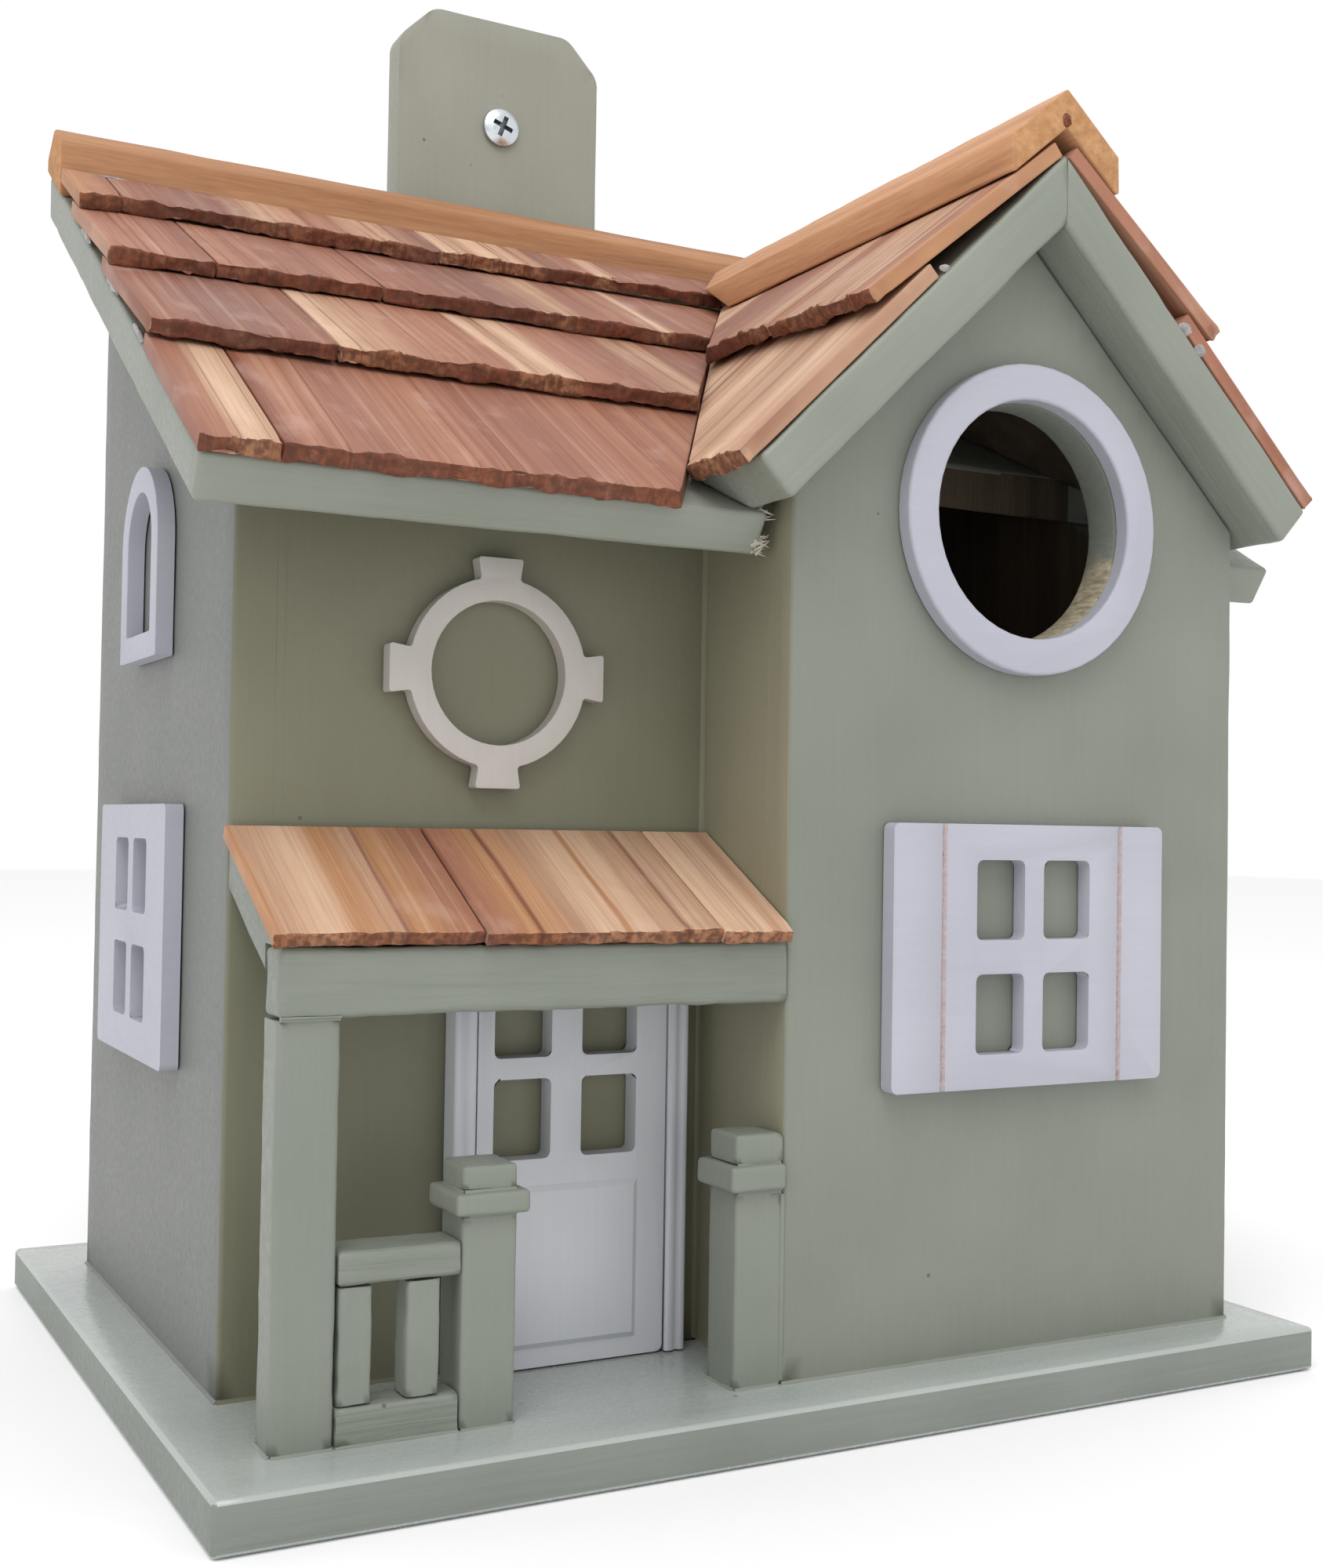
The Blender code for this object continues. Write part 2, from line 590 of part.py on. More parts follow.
def build_porch_roof():
    wall = BODY_FRONT - GAP
    top, bottom = PORCH_SHINGLE + GAP, PORCH_SHINGLE + GAP + PORCH_BOARD
    seat = BEAM_TOP + GAP
    front, back = POST_FRONT + GAP, POST_FRONT + BEAM_THICK
    outline = [(wall, porch_top(wall, top)), (front, porch_top(front, top)), (front, seat),
               (back, seat), (back, porch_top(back, bottom)), (wall, porch_top(wall, bottom))]
    side_plate("porch_roof_board", [outline], (PORCH_LEFT, PORCH_RIGHT), SAGE)
    beam_front = POST_FRONT - 0.8 * MM
    box("porch_beam", (PORCH_LEFT, PORCH_RIGHT), (beam_front, back - GAP), (BEAM_BOTTOM, BEAM_TOP), SAGE)
    joints = (PORCH_LEFT - 1.2 * MM, -54.6 * MM, -17.8 * MM, PORCH_RIGHT)
    y = wall - PORCH_SHINGLE * math.sin(PORCH_PITCH)
    z = porch_top(y, PORCH_SHINGLE / 2)
    for number, overhang in enumerate((0, 0.5 * MM, 1 * MM)):
        start = joints[number] + (GAP if number else 0)
        outline = rectangle((start, joints[number + 1]), (-PORCH_SLOPE - overhang, 0))
        plate(f"porch_shingle_{number + 1}", [outline], PORCH_SHINGLE, CEDAR, (0, y, z), (PORCH_PITCH, 0, 0))


def build_newel(prefix, x, y, collar_top, cap_top):
    """A square post with a wider collar and a small block on it; the collar stops at the wing wall."""
    collar_x = (x[0] - COLLAR_OVERHANG, min(x[1] + COLLAR_OVERHANG, PORCH_RIGHT))
    collar_y = (y[0] - COLLAR_OVERHANG, y[1] + COLLAR_OVERHANG)
    box(prefix + "_post", x, y, (FOOT, NEWEL_TOP), SAGE)
    box(prefix + "_collar", collar_x, collar_y, (NEWEL_TOP + GAP, collar_top), SAGE)
    box(prefix + "_cap", x, y, (collar_top + GAP, cap_top), SAGE)


def build_porch_rails():
    post_top = BEAM_BOTTOM - GAP
    post_y = (POST_FRONT, POST_FRONT + 6.7 * MM)
    box("porch_post", (PORCH_LEFT, PORCH_POST_RIGHT), post_y, (FOOT, post_top), SAGE)
    newel_y = (POST_FRONT, POST_BACK)
    build_newel("front_newel", (NEWEL_LEFT, NEWEL_LEFT + 8 * MM), newel_y, 39 * MM, 42.5 * MM)
    forward = 0.6 * MM
    newel_y = (POST_FRONT - forward, POST_BACK - forward)
    build_newel("wing_newel", (PORCH_RIGHT - 7.8 * MM, PORCH_RIGHT), newel_y, 39.6 * MM, 44 * MM)
    span = (PORCH_POST_RIGHT + GAP, NEWEL_LEFT - GAP)
    box("porch_top_rail", span, (POST_FRONT, POST_FRONT + 7.5 * MM), (RAIL_BOTTOM, RAIL_TOP), SAGE)
    box("porch_bottom_rail", span, (POST_FRONT, POST_FRONT + 6 * MM), (FOOT, LOW_RAIL_TOP), SAGE)
    y = (POST_FRONT + 0.4 * MM, POST_FRONT + 5 * MM)
    z = (LOW_RAIL_TOP + GAP, RAIL_BOTTOM - GAP)
    for number, left in enumerate((span[0] + 0.2 * MM, -63.7 * MM), 1):
        box(f"porch_baluster_{number}", (left, left + BALUSTER), y, z, SAGE)


# Rear: hanging board and clean-out cover

def build_hanger():
    front = BODY_REAR + GAP
    shoulder = HANGER_TOP - HANGER_CHAMFER
    outline = [(HANGER_LEFT, HANGER_BOTTOM), (HANGER_RIGHT, HANGER_BOTTOM), (HANGER_RIGHT, shoulder),
               (HANGER_RIGHT - HANGER_CHAMFER, HANGER_TOP), (HANGER_LEFT + HANGER_CHAMFER, HANGER_TOP),
               (HANGER_LEFT, shoulder)]
    x = (HANGER_LEFT + HANGER_RIGHT) / 2
    hole = circle((x, HANGING_SCREW_Z), SCREW_SHANK_RADIUS + GAP, 24)
    front_plate("hanging_board", [outline, hole], (front, front + HANGER_THICK), SAGE)
    screw("hanging_screw", (x, front - GAP, HANGING_SCREW_Z), (math.radians(90), 0, 0), 5.6 * MM)


def build_cleanout():
    """The cover turns on the left screw; its slot, open at the bottom, drops over the right one."""
    face = BODY_REAR + GAP
    pivot = Vector((-COVER_SCREW_X, face + COVER_THICK / 2, COVER_SCREW_Z))
    hole = circle((0, 0), SCREW_SHANK_RADIUS + GAP, 24)
    left, right = -COVER_HALF - pivot.x, COVER_HALF - pivot.x
    bottom, top = COVER_BOTTOM - pivot.z, COVER_TOP - pivot.z
    keeper, slot = 2 * COVER_SCREW_X, COVER_SLOT_HALF
    outline = [(left, bottom), (keeper - slot, bottom), (keeper - slot, 0)]
    outline += arc((keeper, 0), slot, 180, 0, 12)[1:-1]
    outline += [(keeper + slot, 0), (keeper + slot, bottom), (right, bottom), (right, top), (left, top)]
    plate("cleanout_cover", [outline, hole], COVER_THICK, SAGE, pivot, FRONT_FACING)
    under_head = face + COVER_THICK + GAP
    for name, side in (("cover_pivot_screw", -1), ("cover_keeper_screw", 1)):
        location = (side * COVER_SCREW_X, under_head, COVER_SCREW_Z)
        screw(name, location, (math.radians(-90), 0, 0), 11.6 * MM)


build_base()
build_side_walls()
build_front_and_rear_walls()
build_wing_front()
build_main_roof()
build_wing_roof()
build_main_cap()
build_wing_cap()
build_main_shingles()
build_wing_shingles()
build_entry_ring()
build_oculus()
build_windows()
build_door()
build_porch_roof()
build_porch_rails()
build_hanger()
build_cleanout()
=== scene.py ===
import json
import math
import random
import bpy
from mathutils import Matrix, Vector


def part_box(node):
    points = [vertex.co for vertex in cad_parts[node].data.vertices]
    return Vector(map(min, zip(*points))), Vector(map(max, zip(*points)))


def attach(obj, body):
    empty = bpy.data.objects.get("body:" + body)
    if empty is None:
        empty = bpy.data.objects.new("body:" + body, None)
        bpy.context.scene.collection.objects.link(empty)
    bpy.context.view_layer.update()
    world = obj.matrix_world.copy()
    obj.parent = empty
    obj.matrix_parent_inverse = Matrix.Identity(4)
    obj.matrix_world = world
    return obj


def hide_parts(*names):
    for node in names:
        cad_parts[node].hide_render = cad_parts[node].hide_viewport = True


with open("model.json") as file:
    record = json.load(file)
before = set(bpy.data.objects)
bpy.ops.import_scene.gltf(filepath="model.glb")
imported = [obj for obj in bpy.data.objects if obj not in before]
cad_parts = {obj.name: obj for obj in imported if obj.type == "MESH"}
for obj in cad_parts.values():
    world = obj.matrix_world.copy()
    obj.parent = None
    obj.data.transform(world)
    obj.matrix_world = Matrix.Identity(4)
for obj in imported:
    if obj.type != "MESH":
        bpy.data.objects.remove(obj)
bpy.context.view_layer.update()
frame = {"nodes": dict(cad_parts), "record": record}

mm = 0.001
mergeDistance = 1e-6
touching = 1e-5  # closer than this counts as the same place
mainPitch = math.radians(31.6)
wingPitch = math.radians(44)
porchPitch = math.radians(28)
bodyOf = {node: body for body, nodes in frame["record"]["behaviour"]["bodies"].items() for node in nodes}


# small helpers for working in edit mode

def focus(obj):
    bpy.ops.object.select_all(action="DESELECT")
    obj.select_set(True)
    bpy.context.view_layer.objects.active = obj


def editMode():
    bpy.ops.object.mode_set(mode="EDIT")


def objectMode():
    bpy.ops.object.mode_set(mode="OBJECT")


def clearSelection(mesh):
    for group in (mesh.polygons, mesh.edges, mesh.vertices):
        group.foreach_set("select", [False] * len(group))


def settle():
    # puts the active object's place, turn and scale into its mesh
    bpy.ops.object.transform_apply(location=True, rotation=True, scale=True)


def applyAll(piece):
    focus(piece)
    for modifier in list(piece.modifiers):
        bpy.ops.object.modifier_apply(modifier=modifier.name)


def register(piece, node):
    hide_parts(node)
    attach(piece, bodyOf[node])


def copyNode(node):
    # a merged copy of the CAD solid, with its flat faces whole again
    piece = bpy.data.objects.new(node + "_made", frame["nodes"][node].data.copy())
    bpy.context.scene.collection.objects.link(piece)
    piece.data.materials.clear()
    focus(piece)
    editMode()
    bpy.ops.mesh.select_all(action="SELECT")
    bpy.ops.mesh.remove_doubles(threshold=mergeDistance)
    bpy.ops.mesh.dissolve_limited(angle_limit=math.radians(1))
    objectMode()
    return piece


def foldedEdges(mesh, degrees):
    # the edges whose two faces meet at more than that angle, with their end points
    normals = {}
    for face in mesh.polygons:
        for key in face.edge_keys:
            normals.setdefault(key, []).append(face.normal.copy())
    for edge in mesh.edges:
        pair = normals.get(edge.key, [])
        if len(pair) == 2 and pair[0].angle(pair[1]) > math.radians(degrees):
            yield edge, [mesh.vertices[i].co for i in edge.vertices]


def bevelSelected(piece, width, segments, profile=0.5):
    focus(piece)
    bpy.context.tool_settings.mesh_select_mode = (False, True, False)
    editMode()
    bpy.ops.mesh.bevel(offset=width, segments=segments, profile=profile, affect="EDGES", clamp_overlap=True)
    objectMode()


def insideBox(point, low, high, slack):
    return all(low[i] - slack < point[i] < high[i] + slack for i in range(3))


def roundEdges(piece, width, segments=3, beside=(), square=False):
    # rounds the free edges; those lying against a neighbour stay sharp, because paint closed that joint,
    # and a square piece keeps its top and bottom rims sharp too
    boxes = [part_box(node) for node in beside]
    heights = [vertex.co.z for vertex in piece.data.vertices]
    clearSelection(piece.data)
    for edge, ends in foldedEdges(piece.data, 30):
        held = any(all(insideBox(end, low, high, 0.4 * mm) for end in ends) for low, high in boxes)
        flat = any(all(abs(end.z - limit(heights)) < touching for end in ends) for limit in (min, max))
        edge.select = not held and not (square and flat)
    bevelSelected(piece, width, segments)


def roundCorners(piece, axis, radius, segments=3):
    # rounds the upright corners of a flat piece: the edges that run through its thickness
    clearSelection(piece.data)
    for edge, (a, b) in foldedEdges(piece.data, 40):
        edge.select = abs((b - a).normalized()[axis]) > 0.99
    bevelSelected(piece, radius, segments)


def slicePlanes(piece, normal, depths):
    # cuts the whole piece along planes at those distances along a normal
    focus(piece)
    editMode()
    for depth in depths:
        bpy.ops.mesh.select_all(action="SELECT")
        bpy.ops.mesh.bisect(plane_co=normal * depth, plane_no=normal, threshold=mergeDistance)
    objectMode()


def sliceEvery(piece, normal, step):
    normal = Vector(normal).normalized()
    reach = [normal.dot(v.co) for v in piece.data.vertices]
    low, high = min(reach), max(reach)
    count = int((high - low) / step)
    if count > 0:
        slicePlanes(piece, normal, [low + (high - low) * i / (count + 1) for i in range(1, count + 1)])


def wander(piece, strength, size, kind="CLOUDS", group=""):
    # moves the surface by smooth noise, as hand-cut and hand-painted wood wanders
    texture = bpy.data.textures.new(piece.name + "_" + kind.lower(), kind)
    texture.noise_scale = size
    modifier = piece.modifiers.new("wander", "DISPLACE")
    modifier.texture = texture
    modifier.texture_coords = "LOCAL"
    modifier.direction = "NORMAL"
    modifier.strength = strength
    modifier.mid_level = 0.5
    modifier.vertex_group = group
    applyAll(piece)


def weightGroup(piece, name, weight):
    group = piece.vertex_groups.new(name=name)
    for vertex in piece.data.vertices:
        value = weight(vertex.co)
        if value > 0:
            group.add([vertex.index], min(value, 1), "REPLACE")
    return name


def smoothByAngle(piece, degrees=40):
    focus(piece)
    bpy.ops.object.shade_smooth_by_angle(angle=math.radians(degrees))


def giveMaterials(piece, materials, choose=None):
    for material in materials:
        piece.data.materials.append(material)
    if choose:
        for face in piece.data.polygons:
            face.material_index = choose(face.center, face.normal)


# materials

def newMaterial(name):
    mat = bpy.data.materials.new(name)
    mat.use_nodes = True
    return mat


def addNode(mat, kind, inputs=None, **settings):
    node = mat.node_tree.nodes.new("ShaderNode" + kind)
    for key, value in settings.items():
        setattr(node, key, value)
    for key, value in (inputs or {}).items():
        if isinstance(value, bpy.types.NodeSocket):
            mat.node_tree.links.new(value, node.inputs[key])
        else:
            node.inputs[key].default_value = value
    return node


def shaderOf(mat):
    return mat.node_tree.nodes["Principled BSDF"]


def plug(mat, socket, name):
    mat.node_tree.links.new(socket, shaderOf(mat).inputs[name])


def mixColour(mat, factor, first, second, blend="MIX"):
    mix = addNode(mat, "Mix", {0: factor, 6: first, 7: second}, data_type="RGBA", blend_type=blend)
    return mix.outputs[2]


def objectPlace(mat):
    return addNode(mat, "TexCoord").outputs["Object"]


def grainNoise(mat, size, turn=(0, 0, 0), shift=(0, 0, 0), detail=4, distort=0.0):
    # noise whose features are that many metres long on each axis, after a turn
    place = addNode(mat, "Mapping", {"Vector": objectPlace(mat), "Location": shift, "Rotation": turn,
                                     "Scale": size}, vector_type="TEXTURE").outputs[0]
    noise = addNode(mat, "TexNoise", {"Vector": place, "Scale": 1.0, "Detail": detail, "Roughness": 0.55,
                                      "Distortion": distort})
    return noise.outputs["Fac"]


def grainSize(width, length, grain):
    # the size of noise features that are that wide, and that long on the grain's axis
    return [length if axis == grain else width for axis in range(3)]


def mapRange(mat, value, low, high, toLow, toHigh):
    return addNode(mat, "MapRange", {"Value": value, 1: low, 2: high, 3: toLow, 4: toHigh}).outputs[0]


def bump(mat, height, distance, strength, under=None):
    inputs = {"Height": height, "Distance": distance, "Strength": strength}
    if under:
        inputs["Normal"] = under
    return addNode(mat, "Bump", inputs).outputs[0]


def colour(r, g, b):
    return (r, g, b, 1)


# the sage tones from 'wing' to 'board' are one sage paint, each set lighter or darker to carry painted light
# and shade on its own surfaces: 'side' painted shade, cooler; 'porch' painted shade with a warm painted
# bounce; 'return' and 'base' painted light; 'edge' painted shade on the base's rim; 'trim', 'rail' and
# 'board' a little lighter or darker for the light on those parts
paints = {
    "wing": {"main": colour(0.194, 0.209, 0.174), "light": colour(0.230, 0.245, 0.205)},
    "side": {"main": colour(0.162, 0.169, 0.158), "light": colour(0.188, 0.194, 0.181)},
    "porch": {"main": colour(0.162, 0.159, 0.105), "light": colour(0.190, 0.187, 0.127)},
    "return": {"main": colour(0.245, 0.235, 0.165), "light": colour(0.280, 0.268, 0.190)},
    "base": {"main": colour(0.345, 0.374, 0.357), "light": colour(0.390, 0.419, 0.398), "rough": 0.24,
             "shine": 0.75},
    "edge": {"main": colour(0.190, 0.208, 0.185), "light": colour(0.225, 0.244, 0.220)},
    "trim": {"main": colour(0.225, 0.242, 0.202), "light": colour(0.265, 0.282, 0.240), "rough": 0.42},
    "rail": {"main": colour(0.196, 0.213, 0.178), "light": colour(0.230, 0.248, 0.212), "rough": 0.42},
    "board": {"main": colour(0.265, 0.268, 0.222), "light": colour(0.305, 0.305, 0.255)},
    "lilac": {"main": colour(0.41, 0.41, 0.475), "light": colour(0.455, 0.455, 0.52)},
    "cream": {"main": colour(0.47, 0.44, 0.41), "light": colour(0.52, 0.49, 0.46)},
    "door": {"main": colour(0.55, 0.56, 0.60), "light": colour(0.62, 0.63, 0.66), "rough": 0.4},
}
cedarTones = {
    "tan": colour(0.52, 0.315, 0.20),
    "pale": colour(0.66, 0.46, 0.31),
    "pink": colour(0.315, 0.138, 0.092),
    "salmon": colour(0.390, 0.176, 0.108),
    "red": colour(0.24, 0.085, 0.05),
    "mauve": colour(0.262, 0.126, 0.096),
    "orange": colour(0.50, 0.255, 0.125),
    "crack": colour(0.09, 0.035, 0.02),
}


def brushedPaint(name, look, grain=2, turn=(0, 0, 0), ridge=0.05, lines=0.05, shift=(0, 0, 0)):
    # thick brushed paint: broad tone changes, fine brush lines along the grain, wood ridges and a few specks
    mat = newMaterial(name)
    paint = paints[look]
    rough = paint.get("rough", 0.5)
    broad = grainNoise(mat, (0.035, 0.035, 0.035), turn, shift, 2)
    brush = grainNoise(mat, grainSize(0.0009, 0.02, grain), turn, shift, 5)
    ridges = grainNoise(mat, grainSize(0.0021, 0.05, grain), turn, shift, 3, 0.9)
    orangePeel = grainNoise(mat, (0.0011, 0.0011, 0.0011), turn, shift, 3)
    tone = mixColour(mat, mapRange(mat, broad, 0.3, 0.7, 0, 1), paint["main"], paint["light"])
    strokes = mapRange(mat, brush, 0.35, 0.7, 0.0, lines)
    tone = mixColour(mat, strokes, tone, colour(0.2, 0.21, 0.2), "OVERLAY")
    specks = addNode(mat, "TexVoronoi", {"Vector": objectPlace(mat), "Scale": 55.0, "Randomness": 1.0})
    speck = mapRange(mat, specks.outputs["Distance"], 0.014, 0.022, 0.7, 0.0)
    tone = mixColour(mat, speck, tone, colour(0.07, 0.065, 0.05))
    plug(mat, tone, "Base Color")
    plug(mat, mapRange(mat, orangePeel, 0.3, 0.7, rough - 0.07, rough + 0.09), "Roughness")
    normal = bump(mat, ridges, ridge * mm * 5, 0.6)
    normal = bump(mat, brush, lines * mm * 0.5, 0.6, normal)
    normal = bump(mat, orangePeel, 0.07 * mm, 0.6, normal)
    plug(mat, normal, "Normal")
    shaderOf(mat).inputs["Specular IOR Level"].default_value = paint.get("shine", 0.42)
    return mat


def cedarFace(name, stripes, ends, across, turn, seed, sawn=False, calm=1.0):
    # split cedar: colour stripes across the width, fine dark grain lines, a pale bloom and a soft sheen;
    # the sawn end carries the same stripes, darker and crumbly
    mat = newMaterial(name)
    along = 1 - across
    shift = (seed * 0.137, seed * 0.071, seed * 0.053)

    def streak(width, length, detail=4, distort=0.0):
        size = [0.01, 0.01, 0.01]
        size[across], size[along] = width, length
        return grainNoise(mat, size, turn, shift, detail, distort)

    axes = addNode(mat, "SeparateXYZ", {"Vector": objectPlace(mat)})
    place = mapRange(mat, axes.outputs[across], ends[0], ends[1], 0, 1)
    wobble = addNode(mat, "Math", {0: streak(0.012, 0.05), 1: 0.05}, operation="MULTIPLY").outputs[0]
    place = addNode(mat, "Math", {0: place, 1: wobble}, operation="ADD").outputs[0]
    place = addNode(mat, "Math", {0: place, 1: -0.025}, operation="ADD").outputs[0]
    ramp = addNode(mat, "ValToRGB", {"Fac": place})
    ramp.color_ramp.interpolation = "EASE"
    stops = ramp.color_ramp.elements
    while len(stops) < len(stripes):
        stops.new(0.5)
    for stop, (at, tone) in zip(stops, stripes):
        stop.position = at
        stop.color = cedarTones[tone]
    stripe = ramp.outputs["Color"]
    rings = streak(0.0017, 0.16, 3, 0.2)
    hairs = streak(0.0011, 0.3, 2)
    lines = streak(0.00035, 0.016, 3)
    clouds = streak(0.012, 0.02, 3)
    bloom = streak(0.007, 0.012, 4)
    tone = mixColour(mat, mapRange(mat, rings, 0.52, 0.68, 0.0, 0.55 * calm), stripe, cedarTones["red"])
    tone = mixColour(mat, mapRange(mat, rings, 0.30, 0.44, 0.30, 0.0), tone, cedarTones["pale"])
    tone = mixColour(mat, mapRange(mat, hairs, 0.59, 0.65, 0.0, 0.75 * calm), tone, cedarTones["red"])
    darkLines = mapRange(mat, lines, 0.35, 0.75, 0.0, 0.4)
    tone = mixColour(mat, darkLines, tone, colour(0.22, 0.17, 0.16), "OVERLAY")
    tone = mixColour(mat, mapRange(mat, clouds, 0.4, 0.7, 0.0, 0.25 * calm), tone, cedarTones["mauve"])
    tone = mixColour(mat, mapRange(mat, bloom, 0.58, 0.75, 0.0, 0.28), tone, colour(0.60, 0.42, 0.36))
    if sawn:
        crumbs = grainNoise(mat, (0.0012, 0.0012, 0.0012), detail=6)
        tone = mixColour(mat, 1.0, tone, colour(0.62, 0.44, 0.34), "MULTIPLY")
        tone = mixColour(mat, mapRange(mat, crumbs, 0.42, 0.60, 0.75, 0.0), tone, cedarTones["crack"])
        plug(mat, tone, "Base Color")
        shaderOf(mat).inputs["Roughness"].default_value = 0.9
        plug(mat, bump(mat, crumbs, 0.35 * mm, 0.8), "Normal")
        return mat
    plug(mat, tone, "Base Color")
    plug(mat, mapRange(mat, clouds, 0.3, 0.7, 0.5, 0.72), "Roughness")
    normal = bump(mat, rings, 0.16 * mm, 0.5)
    normal = bump(mat, lines, 0.06 * mm, 0.7, normal)
    plug(mat, normal, "Normal")
    shaderOf(mat).inputs["Specular IOR Level"].default_value = 0.35
    return mat


def sawnEnd(name, dark, light, grit=0.0009):
    # torn end grain: dark, crumbly, with lighter fibres
    mat = newMaterial(name)
    crumbs = grainNoise(mat, (grit, grit, grit), detail=6)
    patches = grainNoise(mat, (0.006, 0.006, 0.003), detail=3)
    fibres = grainNoise(mat, (0.0005, 0.0005, 0.0012), detail=3)
    tone = mixColour(mat, mapRange(mat, crumbs, 0.35, 0.66, 0, 1), dark, light)
    tone = mixColour(mat, mapRange(mat, patches, 0.4, 0.7, 0, 0.6), tone, dark)
    tone = mixColour(mat, mapRange(mat, fibres, 0.6, 0.75, 0, 0.5), tone, cedarTones["tan"])
    plug(mat, tone, "Base Color")
    shaderOf(mat).inputs["Roughness"].default_value = 0.9
    shaderOf(mat).inputs["Specular IOR Level"].default_value = 0.2
    normal = bump(mat, crumbs, 0.5 * mm, 0.8)
    normal = bump(mat, fibres, 0.2 * mm, 0.7, normal)
    plug(mat, normal, "Normal")
    return mat


def bareWood(name, first, second, grain):
    # planed softwood: soft growth bands along the grain and fine pores
    mat = newMaterial(name)
    bands = grainNoise(mat, grainSize(0.004, 0.09, grain), (0, 0, 0), (0.3, 0.1, 0.2), 3, 0.4)
    pores = grainNoise(mat, grainSize(0.0005, 0.008, grain))
    tone = mixColour(mat, mapRange(mat, bands, 0.35, 0.65, 0, 1), first, second)
    tone = mixColour(mat, mapRange(mat, pores, 0.4, 0.75, 0.0, 0.35), tone, colour(0.25, 0.2, 0.2), "OVERLAY")
    plug(mat, tone, "Base Color")
    plug(mat, mapRange(mat, pores, 0.3, 0.7, 0.65, 0.85), "Roughness")
    normal = bump(mat, bands, 0.15 * mm, 0.4)
    normal = bump(mat, pores, 0.06 * mm, 0.7, normal)
    plug(mat, normal, "Normal")
    return mat


def holeWood(name):
    # the entry hole's wall: sage paint above, stringy raw wood where the saw tore it lower down
    mat = newMaterial(name)
    crumbs = grainNoise(mat, (0.0008, 0.0025, 0.0008), detail=5)
    patches = grainNoise(mat, (0.006, 0.006, 0.006), detail=4)
    height = addNode(mat, "SeparateXYZ", {"Vector": objectPlace(mat)}).outputs[2]
    lower = mapRange(mat, height, 0.126, 0.139, 0.75, -0.35)
    torn = addNode(mat, "Math", {0: lower, 1: patches}, operation="ADD").outputs[0]
    fibre = mapRange(mat, crumbs, 0.35, 0.62, 0, 1)
    raw = mixColour(mat, fibre, colour(0.24, 0.20, 0.13), colour(0.44, 0.38, 0.27))
    tone = mixColour(mat, mapRange(mat, torn, 0.55, 0.75, 0, 1), paints["wing"]["main"], raw)
    plug(mat, tone, "Base Color")
    shaderOf(mat).inputs["Roughness"].default_value = 0.8
    plug(mat, bump(mat, crumbs, 0.35 * mm, 0.8), "Normal")
    return mat


def zincPlate(name, dull, bright):
    mat = newMaterial(name)
    smudge = grainNoise(mat, (0.0012, 0.0012, 0.0012), detail=4)
    tone = mixColour(mat, mapRange(mat, smudge, 0.3, 0.7, 0, 1), dull, bright)
    plug(mat, tone, "Base Color")
    plug(mat, mapRange(mat, smudge, 0.3, 0.7, 0.18, 0.42), "Roughness")
    shaderOf(mat).inputs["Metallic"].default_value = 1.0
    plug(mat, bump(mat, smudge, 0.03 * mm, 0.5), "Normal")
    return mat


slopeTurn = (mainPitch, 0, 0)
leftTurn = (0, -wingPitch, 0)
rightTurn = (0, wingPitch, 0)
wallPaint = brushedPaint("sagePaintWing", "wing", ridge=0.01)
# the side walls' sage: the same paint darker and cooler, painted shade
shadedSidePaint = brushedPaint("sagePaintSideShaded", "side", ridge=0.01, shift=(0.2, 0.1, 0))
# the porch wall's sage: the same paint darker and warmer, painted shade with a warm painted bounce
shadedPorchWallPaint = brushedPaint("sagePaintPorchWallShaded", "porch", ridge=0.01, shift=(0.5, 0.1, 0))
# the wing's return wall and the wing front's side: the same paint lighter and warmer, painted light
litReturnPaint = brushedPaint("sagePaintReturnLit", "return", ridge=0.01, shift=(0.4, 0.4, 0))
hangingPaint = brushedPaint("sagePaintHanging", "board", ridge=0.02, shift=(0.1, 0.6, 0))
# the base's top: the same paint lighter, painted light from above
litBaseTopPaint = brushedPaint("sagePaintBaseTopLit", "base", 0, ridge=0.02, lines=0.03)
roofPaint = brushedPaint("sagePaintRoof", "trim", 0, slopeTurn, ridge=0.04, lines=0.08)
leftFasciaPaint = brushedPaint("sagePaintLeftFascia", "trim", 0, leftTurn, ridge=0.06, lines=0.08)
rightFasciaPaint = brushedPaint("sagePaintRightFascia", "trim", 0, rightTurn, ridge=0.06, lines=0.08)
# the base's upright sides: the same paint darker, painted shade
shadedBaseRimPaint = brushedPaint("sagePaintBaseRimShaded", "edge", 0, ridge=0.06, lines=0.1)
beamPaint = brushedPaint("sagePaintBeam", "rail", 0, ridge=0.12, lines=0.12, shift=(0.1, 0.3, 0.2))
postPaint = brushedPaint("sagePaintPost", "rail", 2, ridge=0.03, shift=(0.3, 0, 0.1))
lilacPaint = brushedPaint("whitePaintWindows", "lilac", 0, ridge=0.01)
creamPaint = brushedPaint("whitePaintOculus", "cream", 2, ridge=0.01)
doorPaint = brushedPaint("whitePaintDoor", "door", 2, ridge=0.01)
